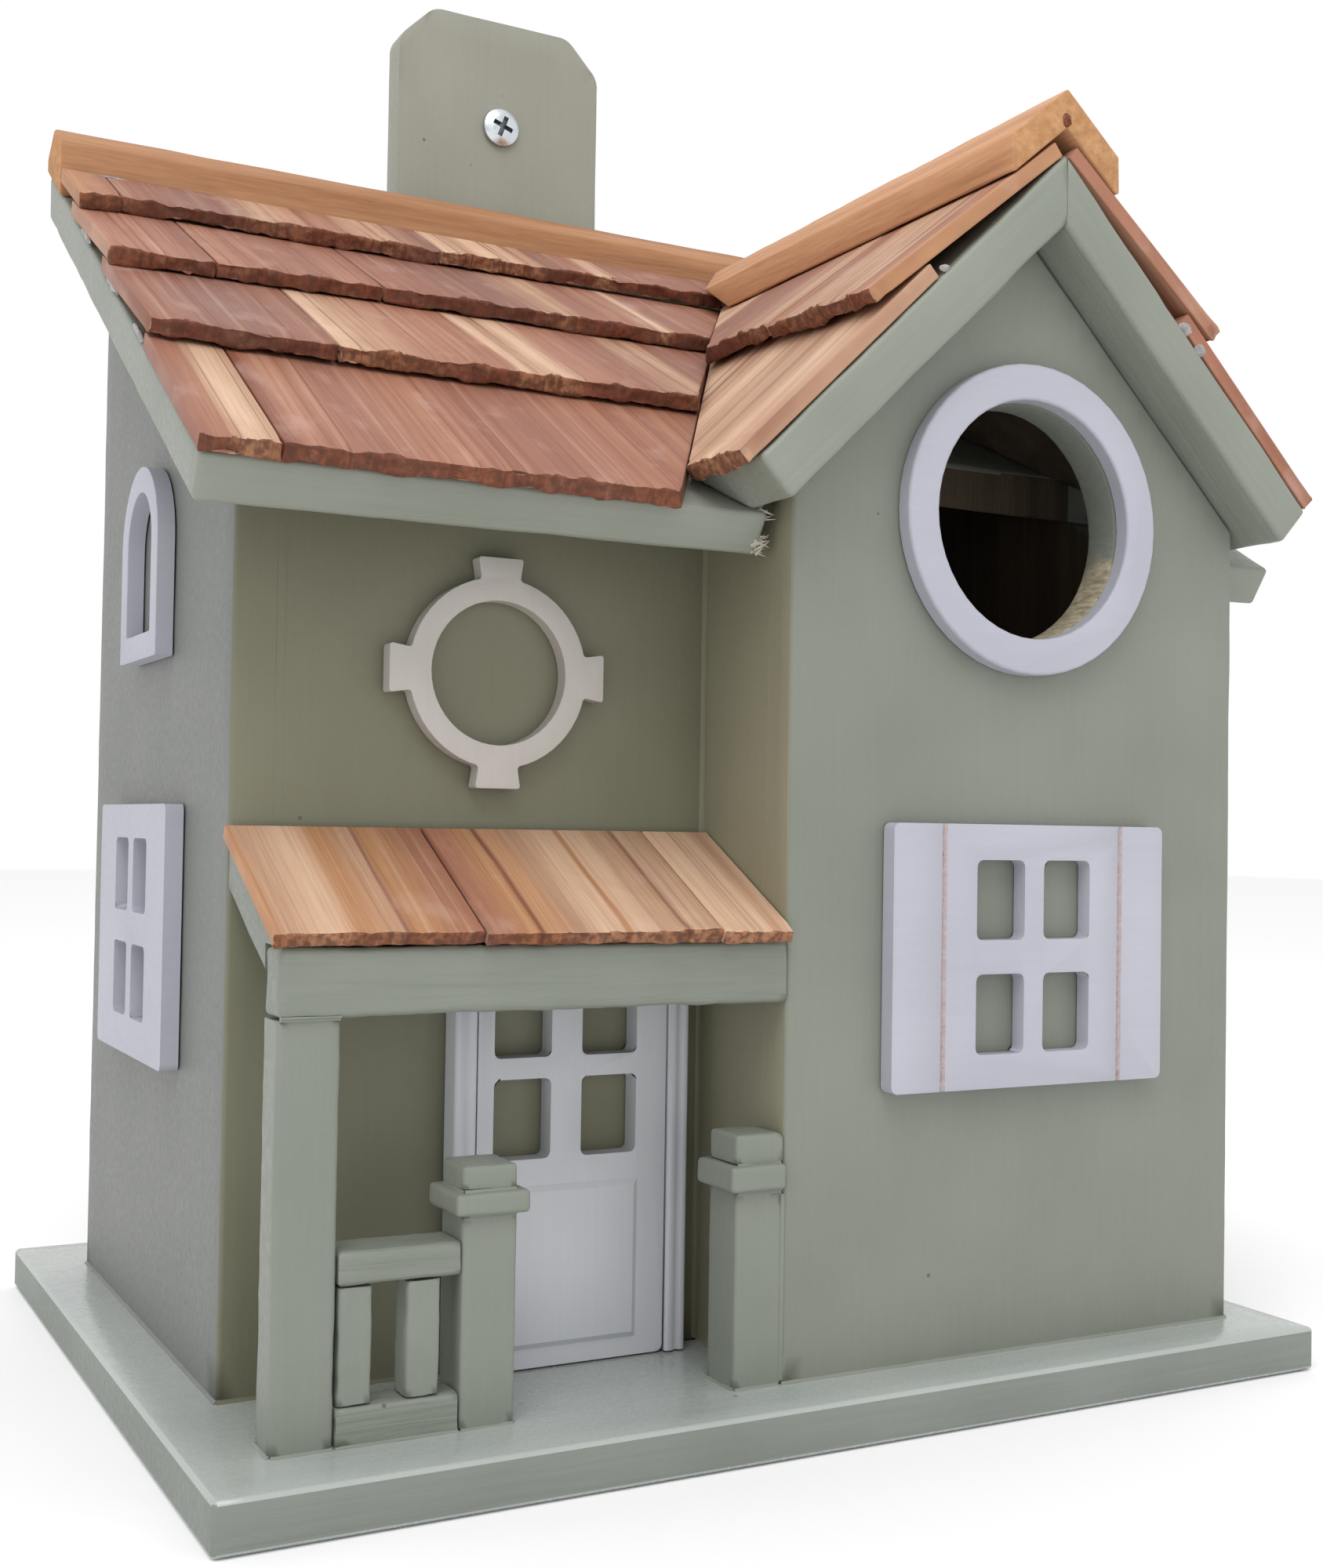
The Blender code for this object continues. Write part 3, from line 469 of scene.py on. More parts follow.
# very dark bare wood for the inside of the house: painted shade of the closed box
innerWoodPaintedShade = bareWood("innerWoodPaintedShade", colour(0.085, 0.06, 0.04), colour(0.13, 0.095, 0.06), 2)
boreWood = holeWood("boreWood")
grooveWood = sawnEnd("grooveWood", colour(0.47, 0.36, 0.34), colour(0.47, 0.45, 0.50))
splinterWood = bareWood("splinterWood", colour(0.42, 0.40, 0.33), colour(0.58, 0.56, 0.49), 0)
capWood = bareWood("capWood", colour(0.32, 0.145, 0.062), colour(0.43, 0.215, 0.10), 0)
wingCapWood = bareWood("wingCapWood", colour(0.45, 0.215, 0.10), colour(0.58, 0.31, 0.16), 1)
capEnd = sawnEnd("capEndGrain", colour(0.42, 0.21, 0.095), colour(0.56, 0.31, 0.15), 0.0014)
zinc = zincPlate("zincPlate", colour(0.55, 0.60, 0.64), colour(0.72, 0.76, 0.78))
# near-black zinc for the screws' cross recess: painted shade
recessShadeZinc = zincPlate("zincRecessPaintedShade", colour(0.09, 0.10, 0.11), colour(0.20, 0.22, 0.24))
print("materials made")


# painted boards

boards = {
    "base_board": {"edge": 0.8, "step": 5, "sway": 0, "paint": litBaseTopPaint, "rim": shadedBaseRimPaint},
    "left_wall": {"edge": 0.7, "step": 6, "sway": 0.2, "paint": shadedSidePaint, "bare": (1, 0, 0),
                  "front": shadedPorchWallPaint},
    "right_wall": {"edge": 0.7, "step": 6, "sway": 0.2, "paint": shadedSidePaint, "bare": (-1, 0, 0)},
    "main_front_wall": {"edge": 0.4, "step": 6, "sway": 0.2, "paint": shadedPorchWallPaint, "bare": (0, 1, 0)},
    "wing_left_wall": {"edge": 0.3, "step": 6, "sway": 0.15, "paint": litReturnPaint, "bare": (1, 0, 0)},
    "wing_front_wall": {"edge": 0.7, "step": 4, "sway": 0.2, "paint": wallPaint, "bare": (0, 1, 0),
                        "side": litReturnPaint},
    "rear_wall": {"edge": 0.4, "step": 6, "sway": 0.2, "paint": wallPaint, "bare": (0, -1, 0)},
    "hanging_board": {"edge": 0.9, "step": 5, "sway": 0.25, "paint": hangingPaint, "corner": 1.6},
    "cleanout_cover": {"edge": 0.8, "step": 4, "sway": 0.2, "paint": wallPaint},
    "main_roof_board": {"edge": 0.8, "step": 4, "sway": 0.4, "paint": roofPaint, "bare": (0, 0.52, -0.85)},
    "wing_roof_board_left": {"edge": 0.9, "step": 3, "sway": 0.45, "paint": leftFasciaPaint,
                             "bare": (0.69, 0, -0.72)},
    "wing_roof_board_right": {"edge": 0.9, "step": 3, "sway": 0.45, "paint": rightFasciaPaint,
                              "bare": (-0.69, 0, -0.72)},
    "porch_roof_board": {"edge": 0.7, "step": 3, "sway": 0.3, "paint": beamPaint},
    "porch_beam": {"edge": 0.9, "step": 1.6, "sway": 0.55, "paint": beamPaint},
    "porch_post": {"edge": 0.8, "step": 1.8, "sway": 0.3, "paint": postPaint, "square": True},
    "front_newel_post": {"edge": 0.5, "step": 1.6, "sway": 0.25, "paint": postPaint, "square": True},
    "front_newel_collar": {"edge": 0.6, "step": 1.2, "sway": 0.3, "paint": postPaint},
    "front_newel_cap": {"edge": 0.6, "step": 1.2, "sway": 0.3, "paint": postPaint},
    "wing_newel_post": {"edge": 0.5, "step": 1.6, "sway": 0.25, "paint": postPaint, "square": True},
    "wing_newel_collar": {"edge": 0.6, "step": 1.2, "sway": 0.3, "paint": postPaint},
    "wing_newel_cap": {"edge": 0.6, "step": 1.2, "sway": 0.3, "paint": postPaint},
    "porch_top_rail": {"edge": 0.6, "step": 1.4, "sway": 0.35, "paint": beamPaint},
    "porch_bottom_rail": {"edge": 0.7, "step": 1.4, "sway": 0.4, "paint": beamPaint},
    "porch_baluster_1": {"edge": 0.5, "step": 1.2, "sway": 0.5, "paint": postPaint, "square": True},
    "porch_baluster_2": {"edge": 0.5, "step": 1.2, "sway": 0.5, "paint": postPaint, "square": True},
}
slopedBoards = {"main_roof_board": ((1, 0, 0), (0, math.cos(mainPitch), math.sin(mainPitch))),
                "wing_roof_board_left": ((0, 1, 0), (math.cos(wingPitch), 0, math.sin(wingPitch))),
                "wing_roof_board_right": ((0, 1, 0), (-math.cos(wingPitch), 0, math.sin(wingPitch)))}
openBoards = (*slopedBoards, "porch_roof_board", "cleanout_cover")
shutBoards = [node for node in boards if node not in openBoards]
entryCentre = Vector((38.2 * mm, 0, 138.8 * mm))
boreRadius = 19.7 * mm
wallsInside = {"left": -75 * mm, "right": 76 * mm, "wing": 0, "rear": 50 * mm, "front": -30 * mm,
               "wingFront": -55 * mm}


def isIndoors(place):
    front = wallsInside["wingFront"] if place.x > wallsInside["wing"] else wallsInside["front"]
    return wallsInside["left"] < place.x < wallsInside["right"] and front < place.y < wallsInside["rear"]


def boardFace(plan, node):
    # 0 painted, 1 bare inside, in very dark wood that is painted shade, 2 the entry hole's bore, 3 the faces
    # that another paint tone covers, a tone with painted light or shade
    bare = Vector(plan.get("bare", (0, 0, 0)))

    def choose(centre, normal):
        inner = isIndoors(centre) and normal.dot(bare) > -0.7
        if node in slopedBoards and inner or node not in slopedBoards and normal.dot(bare) > 0.7:
            return 1
        fromHole = Vector((centre.x, 0, centre.z)) - entryCentre
        if node == "wing_front_wall" and fromHole.length < boreRadius:
            return 2
        atSide = "side" in plan and normal.x < -0.7
        atFront = "front" in plan and normal.y < -0.6
        atRim = "rim" in plan and abs(normal.z) < 0.5
        return 3 if atSide or atFront or atRim else 0
    return choose


def neighboursOf(node):
    # the painted pieces whose joints with this one were closed by the paint
    if node.startswith("wing_roof_board"):
        return [other for other in slopedBoards if other.startswith("wing") and other != node]
    return [other for other in shutBoards if other != node and node not in slopedBoards]


def makeBoard(node, plan):
    piece = copyNode(node)
    if "corner" in plan:
        roundCorners(piece, 1, plan["corner"] * mm)
    directions = slopedBoards.get(node, ((1, 0, 0), (0, 1, 0), (0, 0, 1)))
    isBase = "rim" in plan
    if not isBase:
        roundEdges(piece, plan["edge"] * mm, 3, neighboursOf(node), plan.get("square", False))
    for direction in directions:
        sliceEvery(piece, direction, plan["step"] * mm)
    if isBase:
        roundEdges(piece, plan["edge"] * mm)
    if plan["sway"] > 0:
        wander(piece, plan["sway"] * mm, 9 * mm)
    if plan["step"] < 3.5:
        wander(piece, plan["sway"] * mm * 0.6, 3 * mm)
    other = next((plan[key] for key in ("rim", "side", "front") if key in plan), plan["paint"])
    giveMaterials(piece, [plan["paint"], innerWoodPaintedShade, boreWood, other], boardFace(plan, node))
    smoothByAngle(piece)
    register(piece, node)


for node, plan in boards.items():
    makeBoard(node, plan)
print("boards made")


# paint that ran into the joints: small hollow fillets, and flat skins over flush seams

fillets = {
    "left_wall_foot": {"run": 1, "span": (-36, 56), "corner": (-82.5, 7), "reach": (-0.45, 0.45)},
    "wing_front_foot": {"run": 0, "span": (-5.5, 83.5), "corner": (-62, 7), "reach": (-0.4, 0.4)},
    "wing_side_foot": {"run": 1, "span": (-53, -36.4), "corner": (-5.5, 7), "reach": (-0.5, 0.5)},
    "porch_wall_foot": {"run": 0, "span": (-82.5, -49.4), "corner": (-36, 7), "reach": (-0.5, 0.5)},
    "porch_inner_corner": {"run": 2, "span": (7.4, 141.5), "corner": (-5.5, -36), "reach": (-0.8, -0.8)},
    "post_foot_front": {"run": 0, "span": (-82.1, -73.9), "corner": (-61.3, 7), "reach": (-0.4, 0.35)},
    "post_foot_left": {"run": 1, "span": (-61.1, -54.8), "corner": (-82.3, 7), "reach": (-0.4, 0.35)},
    "post_foot_right": {"run": 1, "span": (-61.1, -54.8), "corner": (-73.7, 7), "reach": (0.4, 0.35)},
    "post_head": {"run": 0, "span": (-82, -73.9), "corner": (-61.3, 63.4), "reach": (-0.7, -0.5)},
    "newel_foot_front": {"run": 0, "span": (-55.9, -48.3), "corner": (-61.3, 7), "reach": (-0.35, 0.35)},
    "newel_foot_right": {"run": 1, "span": (-61.1, -53.5), "corner": (-48.1, 7), "reach": (0.4, 0.4)},
    "newel_collar_front": {"run": 0, "span": (-55.9, -48.3), "corner": (-61.3, 35.7), "reach": (-0.5, -0.5)},
    "newel_collar_top": {"run": 0, "span": (-55.9, -48.3), "corner": (-61.3, 38.9), "reach": (-0.4, 0.4)},
    "newel_collar_left": {"run": 1, "span": (-61.1, -53.5), "corner": (-56.1, 38.9), "reach": (-0.4, 0.4)},
    "wing_newel_foot": {"run": 0, "span": (-13.4, -6), "corner": (-61.9, 7), "reach": (-0.35, 0.35)},
    "wing_newel_foot_left": {"run": 1, "span": (-61.7, -54.1), "corner": (-13.6, 7), "reach": (-0.4, 0.4)},
    "wing_newel_collar_front": {"run": 0, "span": (-13.4, -6), "corner": (-61.9, 35.7),
                                "reach": (-0.5, -0.5)},
    "wing_newel_collar_top": {"run": 0, "span": (-13.4, -6), "corner": (-61.9, 39.5), "reach": (-0.4, 0.4)},
    "low_rail_foot": {"run": 0, "span": (-73.5, -56.3), "corner": (-61.3, 7), "reach": (-0.35, 0.35)},
}
seams = {
    "left_wall_seam": {"low": (-76.1, -36.05, 7.5), "high": (-74.9, -35.6, 141.5)},
    "wing_side_seam": {"low": (-5.55, -55.7, 7.5), "high": (-5.1, -54.5, 141)},
    "wing_right_seam": {"low": (83.1, -55.7, 7.5), "high": (83.55, -54.5, 141)},
    "rear_left_seam": {"low": (-76.1, 56.1, 7.5), "high": (-74.9, 56.55, 198)},
    "rear_right_seam": {"low": (75.9, 56.1, 7.5), "high": (77.1, 56.55, 198)},
    "wing_newel_seam": {"low": (-6.0, -61.96, 7.6), "high": (-5.3, -61.5, 35)},
}
jointPaints = {"left_wall_seam": shadedPorchWallPaint, "wing_side_seam": litReturnPaint, "wing_right_seam": shadedSidePaint,
               "rear_left_seam": wallPaint, "rear_right_seam": wallPaint,
               "left_wall_foot": shadedSidePaint, "porch_inner_corner": shadedPorchWallPaint, "porch_wall_foot": shadedPorchWallPaint,
               "wing_side_foot": litReturnPaint, "wing_front_foot": wallPaint}


paintSkin = {"step": 1.3 * mm, "noise": 2.5 * mm, "sunk": 0.2, "filletSway": 0.2, "seamSway": 0.03,
             "bevel": 0.95, "hollow": 0.12}


def boxBetween(name, low, high):
    low, high = Vector(low) * mm, Vector(high) * mm
    bpy.ops.object.select_all(action="DESELECT")
    bpy.ops.mesh.primitive_cube_add(size=1, location=(low + high) / 2)
    piece = bpy.context.object
    piece.name = name
    piece.scale = high - low
    settle()
    return piece


def finishPaintPiece(piece, paint, sway):
    for axis in ((1, 0, 0), (0, 1, 0), (0, 0, 1)):
        sliceEvery(piece, axis, paintSkin["step"])
    wander(piece, sway * mm, paintSkin["noise"])
    giveMaterials(piece, [paint])
    smoothByAngle(piece, 60)
    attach(piece, "house")


def makeFillet(name, plan):
    axes = [axis for axis in range(3) if axis != plan["run"]]
    low, high = [0, 0, 0], [0, 0, 0]
    low[plan["run"]], high[plan["run"]] = plan["span"]
    for axis, at, reach in zip(axes, plan["corner"], plan["reach"]):
        back = -math.copysign(paintSkin["sunk"], reach)
        low[axis], high[axis] = sorted((at + back, at + reach))
    piece = boxBetween(name, low, high)
    outer = [at + reach for at, reach in zip(plan["corner"], plan["reach"])]
    clearSelection(piece.data)
    for edge in piece.data.edges:
        ends = [piece.data.vertices[i].co for i in edge.vertices]
        edge.select = all(abs(end[axis] - at * mm) < touching
                          for end in ends for axis, at in zip(axes, outer))
    width = min(abs(reach) for reach in plan["reach"]) * paintSkin["bevel"] * mm
    bevelSelected(piece, width, 4, paintSkin["hollow"])
    finishPaintPiece(piece, jointPaints.get(name, postPaint), paintSkin["filletSway"])


def makeSeam(name, plan):
    piece = boxBetween(name, plan["low"], plan["high"])
    finishPaintPiece(piece, jointPaints.get(name, postPaint), paintSkin["seamSway"])


for name, plan in fillets.items():
    makeFillet(name, plan)
for name, plan in seams.items():
    makeSeam(name, plan)
print("paint fillets made")


# ridge caps

caps = {
    "main_ridge_cap": {"edge": 0.5, "along": (1, 0, 0), "step": 4, "sway": 0.35, "noise": 12, "wood": capWood,
                       "ends": [(1, 0, 0), (-1, 0, 0)]},
    "wing_ridge_cap": {"edge": 0.5, "along": (0, 1, 0), "step": 3, "sway": 0.4, "noise": 10,
                       "wood": wingCapWood, "ends": [(0, -1, 0)]},
}


def makeCap(node, plan):
    piece = copyNode(node)
    roundEdges(piece, plan["edge"] * mm, 2)
    sliceEvery(piece, plan["along"], plan["step"] * mm)
    wander(piece, plan["sway"] * mm, plan["noise"] * mm)

    def choose(centre, normal):
        return 1 if any(normal.dot(Vector(end)) > 0.7 for end in plan["ends"]) else 0

    giveMaterials(piece, [plan["wood"], capEnd], choose)
    smoothByAngle(piece)
    register(piece, node)


for node, plan in caps.items():
    makeCap(node, plan)
print("caps made")


# shingles: stripes run across each one from its left end to its right end

mainDown = Vector((0, -math.cos(mainPitch), -math.sin(mainPitch)))
mainUp = Vector((0, -math.sin(mainPitch), math.cos(mainPitch)))
leftDown = Vector((-math.cos(wingPitch), 0, -math.sin(wingPitch)))
leftUp = Vector((-math.sin(wingPitch), 0, math.cos(wingPitch)))
rightDown = Vector((math.cos(wingPitch), 0, -math.sin(wingPitch)))
rightUp = Vector((math.sin(wingPitch), 0, math.cos(wingPitch)))
porchDown = Vector((0, -math.cos(porchPitch), -math.sin(porchPitch)))
porchUp = Vector((0, -math.sin(porchPitch), math.cos(porchPitch)))
slopes = {
    "main": {"down": mainDown, "up": mainUp, "across": 0, "turn": slopeTurn},
    "wing_left": {"down": leftDown, "up": leftUp, "across": 1, "turn": leftTurn},
    "wing_right": {"down": rightDown, "up": rightUp, "across": 1, "turn": rightTurn},
    "porch": {"down": porchDown, "up": porchUp, "across": 0, "turn": (porchPitch, 0, 0)},
}
shingles = {
    "main_course_4_shingle_1": [(0, "pink"), (0.34, "salmon"), (0.4, "tan"), (0.6, "pale"),
                                (1, "tan")],
    "main_course_4_shingle_2": [(0, "red"), (0.04, "salmon"), (0.16, "pink"), (0.3, "salmon"),
                                (0.5, "pink"), (0.72, "salmon"), (0.86, "salmon"),
                                (0.95, "pink")],
    "main_course_3_shingle_1": [(0, "pink"), (0.5, "mauve"), (1, "pink")],
    "main_course_3_shingle_2": [(0, "pale"), (0.07, "tan"), (0.2, "salmon"), (0.33, "salmon"),
                                (0.345, "pale"), (0.40, "tan"), (0.43, "pale"), (0.5, "salmon"),
                                (0.62, "pink"), (0.75, "tan"), (0.8, "pink"), (1, "salmon")],
    "main_course_3_shingle_right": [(0, "salmon"), (0.5, "tan"), (1, "pink")],
    "main_course_2_shingle_1": [(0, "salmon"), (0.3, "salmon"), (1, "pink")],
    "main_course_2_shingle_2": [(0, "salmon"), (0.6, "pink"), (0.85, "salmon"), (1, "pink")],
    "main_course_2_shingle_3": [(0, "pink"), (0.28, "mauve"), (0.42, "tan"), (0.46, "pink"),
                                (0.6, "salmon"), (0.64, "pale"), (0.67, "pink"), (1, "salmon")],
    "main_course_2_shingle_right": [(0, "pink"), (0.4, "tan"), (1, "salmon")],
    "main_course_1_shingle_1": [(0, "orange"), (1, "salmon")],
    "main_course_1_shingle_2": [(0, "pink"), (0.3, "mauve"), (0.45, "tan"), (0.62, "salmon"),
                                (0.8, "tan"), (1, "mauve")],
    "main_course_1_shingle_3": [(0, "pale"), (0.1, "tan"), (0.14, "pale"), (0.28, "tan"),
                                (0.34, "mauve"), (0.48, "salmon"), (0.52, "pale"),
                                (0.58, "pink")],
    "main_course_1_shingle_right": [(0, "tan"), (0.5, "pink"), (1, "salmon")],
    "wing_left_upper_shingle_1": [(0, "orange"), (0.12, "salmon"), (0.2, "tan"), (0.7, "tan"),
                                  (0.9, "salmon")],
    "wing_left_upper_shingle_2": [(0, "tan"), (0.25, "pink"), (0.5, "pink"), (0.6, "pale"),
                                  (1, "pale")],
    "wing_left_lower_shingle_1": [(0, "tan"), (0.4, "pale"), (0.7, "tan"), (1, "pale")],
    "wing_left_lower_shingle_2": [(0, "tan"), (0.2, "pale"), (0.35, "tan"), (0.55, "pale"),
                                  (0.7, "tan"), (1, "pale")],
    "wing_right_upper_shingle": [(0, "salmon"), (0.3, "pink"), (0.7, "tan"), (1, "salmon")],
    "wing_right_lower_shingle": [(0, "salmon"), (0.4, "pink"), (1, "tan")],
    "porch_shingle_1": [(0, "orange"), (0.05, "tan"), (0.3, "pale"), (0.42, "orange"),
                        (0.6, "tan"), (0.62, "pink"), (0.65, "orange"), (0.95, "salmon")],
    "porch_shingle_2": [(0, "red"), (0.03, "salmon"), (0.2, "orange"), (0.225, "red"),
                        (0.25, "orange"), (0.4, "tan"), (0.5, "pale"), (0.56, "pale"),
                        (0.6, "orange"), (0.62, "pale"), (0.83, "tan"), (0.845, "pink"),
                        (0.86, "pale"), (1, "tan")],
    "porch_shingle_3": [(0, "pale"), (0.6, "pale"), (0.8, "tan"), (1, "pale")],
}


tear = {"behind": (0.5, 1.0, 1.7, 2.6, 4.0), "under": (0.5, 1.0, 1.5, 2.0), "strip": 4.05 * mm,
        "shortest": 2 * mm, "grid": 0.65 * mm, "cuts": (4, 100), "fade": 3.4 * mm}
tearNoise = {"coarse": [(1.9, 7, "CLOUDS"), (0.7, 2.2, "STUCCI"), (0.3, 0.8, "CLOUDS")],
             "fine": [(0.8, 7, "CLOUDS"), (0.4, 2.2, "STUCCI"), (0.2, 0.8, "CLOUDS")]}


def extremeFace(mesh, direction):
    facing = [face for face in mesh.polygons if face.normal.dot(direction) > 0.9]
    return max(facing, key=lambda face: face.area, default=None)


def tearButt(piece, butt, top, fine):
    # cuts a fine grid behind the sawn end and roughens it, most at the end itself
    (buttNormal, buttDepth), (topNormal, topDepth) = butt, top
    slicePlanes(piece, buttNormal, [buttDepth - depth * mm for depth in tear["behind"]])
    slicePlanes(piece, topNormal, [topDepth - depth * mm for depth in tear["under"]])
    lengthwise = buttNormal.cross(topNormal).normalized()
    clearSelection(piece.data)
    longest = 0
    for edge in piece.data.edges:
        a, b = (piece.data.vertices[i].co for i in edge.vertices)
        inStrip = min(buttNormal.dot(a), buttNormal.dot(b)) > buttDepth - tear["strip"]
        isLong = (b - a).length > tear["shortest"]
        if inStrip and isLong and abs((b - a).normalized().dot(lengthwise)) > 0.9:
            edge.select = True
            longest = max(longest, (b - a).length)
    focus(piece)
    bpy.context.tool_settings.mesh_select_mode = (False, True, False)
    editMode()
    fewest, most = tear["cuts"]
    bpy.ops.mesh.subdivide(number_cuts=min(most, max(fewest, int(longest / tear["grid"]))))
    objectMode()
    group = weightGroup(piece, "butt", lambda co: 1 - (buttDepth - buttNormal.dot(co)) / tear["fade"])
    for strength, size, kind in tearNoise["fine" if fine else "coarse"]:
        wander(piece, strength * mm, size * mm, kind, group)


def makeShingle(node, stripes, seed):
    slope = next(slopes[key] for key in slopes if node.startswith(key))
    fine = node.startswith("porch")
    piece = copyNode(node)
    butt = extremeFace(piece.data, slope["down"])
    top = extremeFace(piece.data, slope["up"])
    ends = [butt and (butt.normal.copy(), butt.normal.dot(butt.center)),
            top and (top.normal.copy(), top.normal.dot(top.center))]
    roundEdges(piece, 0.2 * mm, 2)
    if all(ends):
        tearButt(piece, *ends, fine)
    low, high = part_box(node)
    width = (low[slope["across"]], high[slope["across"]])
    calm = 0.35 if fine else 1.0
    shared = (stripes, width, slope["across"], slope["turn"], seed)
    face = cedarFace("cedar_" + node, *shared, False, calm)
    sawn = cedarFace("sawn_" + node, *shared, True, calm)
    down = slope["down"]
    giveMaterials(piece, [face, sawn], lambda centre, normal: 1 if normal.dot(down) > 0.35 else 0)
    smoothByAngle(piece, 50)
    register(piece, node)


for seed, (node, stripes) in enumerate(shingles.items(), 1):
    makeShingle(node, stripes, seed)
print("shingles made")


# white trims

trims = {
    "entry_ring": {"edge": 0.5, "axis": 1, "paint": lilacPaint},
    "oculus_trim": {"edge": 0.4, "axis": 1, "corner": 0.5, "paint": creamPaint},
    "wing_window": {"edge": 0.3, "axis": 1, "corner": 1.1, "grooves": (20.9, 56.1), "paint": lilacPaint},
    "left_window": {"edge": 0.3, "axis": 0, "corner": 1.1, "paint": lilacPaint},
    "arched_window": {"edge": 0.4, "axis": 0, "corner": 0.5, "paint": lilacPaint},
    "door_frame": {"edge": 0.5, "axis": 1, "paint": doorPaint},
    "door_leaf": {"edge": 0.3, "axis": 1, "corner": 1.0, "paint": doorPaint},
}
casingLines = {"door_leaf": ((-44.3, -16.3), 0.9, 0.45), "door_frame": ((-47.6, -13.2, -11.5), 0.5, 0.5)}
grooveHalf = 0.5 * mm
grooveDeep = 0.6 * mm
doorPanel = {"x": (-41.5 * mm, -18.5 * mm), "z": (10.2 * mm, 34.6 * mm), "border": 0.9 * mm,
             "proud": 0.7 * mm}


def pressGrooves(piece, places, halfWidth, deep):
    # V grooves down the front face: three cuts each, the middle one pushed back
    front = min(v.co.y for v in piece.data.vertices)
    for place in places:
        slicePlanes(piece, Vector((1, 0, 0)), [place * mm + side * halfWidth for side in (-1, 0, 1)])
        for vertex in piece.data.vertices:
            if abs(vertex.co.x - place * mm) < touching and vertex.co.y < front + 10 * touching:
                vertex.co.y += deep


def raisePanel(piece):
    # the door's lower panel stands a little proud with a sloped border
    slicePlanes(piece, Vector((1, 0, 0)), doorPanel["x"])
    slicePlanes(piece, Vector((0, 0, 1)), doorPanel["z"])
    mesh = piece.data
    front = min(v.co.y for v in mesh.vertices)
    clearSelection(mesh)
    for face in mesh.polygons:
        inX = doorPanel["x"][0] < face.center.x < doorPanel["x"][1]
        inZ = doorPanel["z"][0] < face.center.z < doorPanel["z"][1]
        face.select = face.normal.y < -0.9 and abs(face.center.y - front) < touching and inX and inZ
    focus(piece)
    bpy.context.tool_settings.mesh_select_mode = (False, False, True)
    editMode()
    bpy.ops.mesh.inset(thickness=doorPanel["border"], depth=doorPanel["proud"])
    objectMode()


def makeTrim(node, plan):
    piece = copyNode(node)
    if "corner" in plan:
        roundCorners(piece, plan["axis"], plan["corner"] * mm)
    if node == "door_leaf":
        raisePanel(piece)
    roundEdges(piece, plan["edge"] * mm, 3, shutBoards)
    grooves = plan.get("grooves", ())
    pressGrooves(piece, grooves, grooveHalf, grooveDeep)
    if node in casingLines:
        places, halfWidth, deep = casingLines[node]
        pressGrooves(piece, places, halfWidth * mm, deep * mm)

    def choose(centre, normal):
        near = any(abs(centre.x - place * mm) < grooveHalf for place in grooves)
        return 1 if near and normal.y < -0.3 else 0

    giveMaterials(piece, [plan["paint"], grooveWood], choose)
    smoothByAngle(piece, 35)
    register(piece, node)


for node, plan in trims.items():
    makeTrim(node, plan)
print("trims made")


# screws

screws = {"hanging_screw": -1, "cover_pivot_screw": 1, "cover_keeper_screw": 1}
screwHead = {"radius": 3.8 * mm, "thick": 1.8 * mm, "recess": 1.1 * mm, "slot": 1.0 * mm, "turn": 20,
             "rings": (0.5, 0.6, 0.8), "dome": 1.1 * mm, "curve": 2.5, "shank": 1.6 * mm, "cross": 4.4 * mm}
recessShadeFaces = {"within": 0.65, "below": 0.25 * mm, "deepest": 1.3 * mm}


def domeDrop(out):
    return screwHead["dome"] * out ** screwHead["curve"]


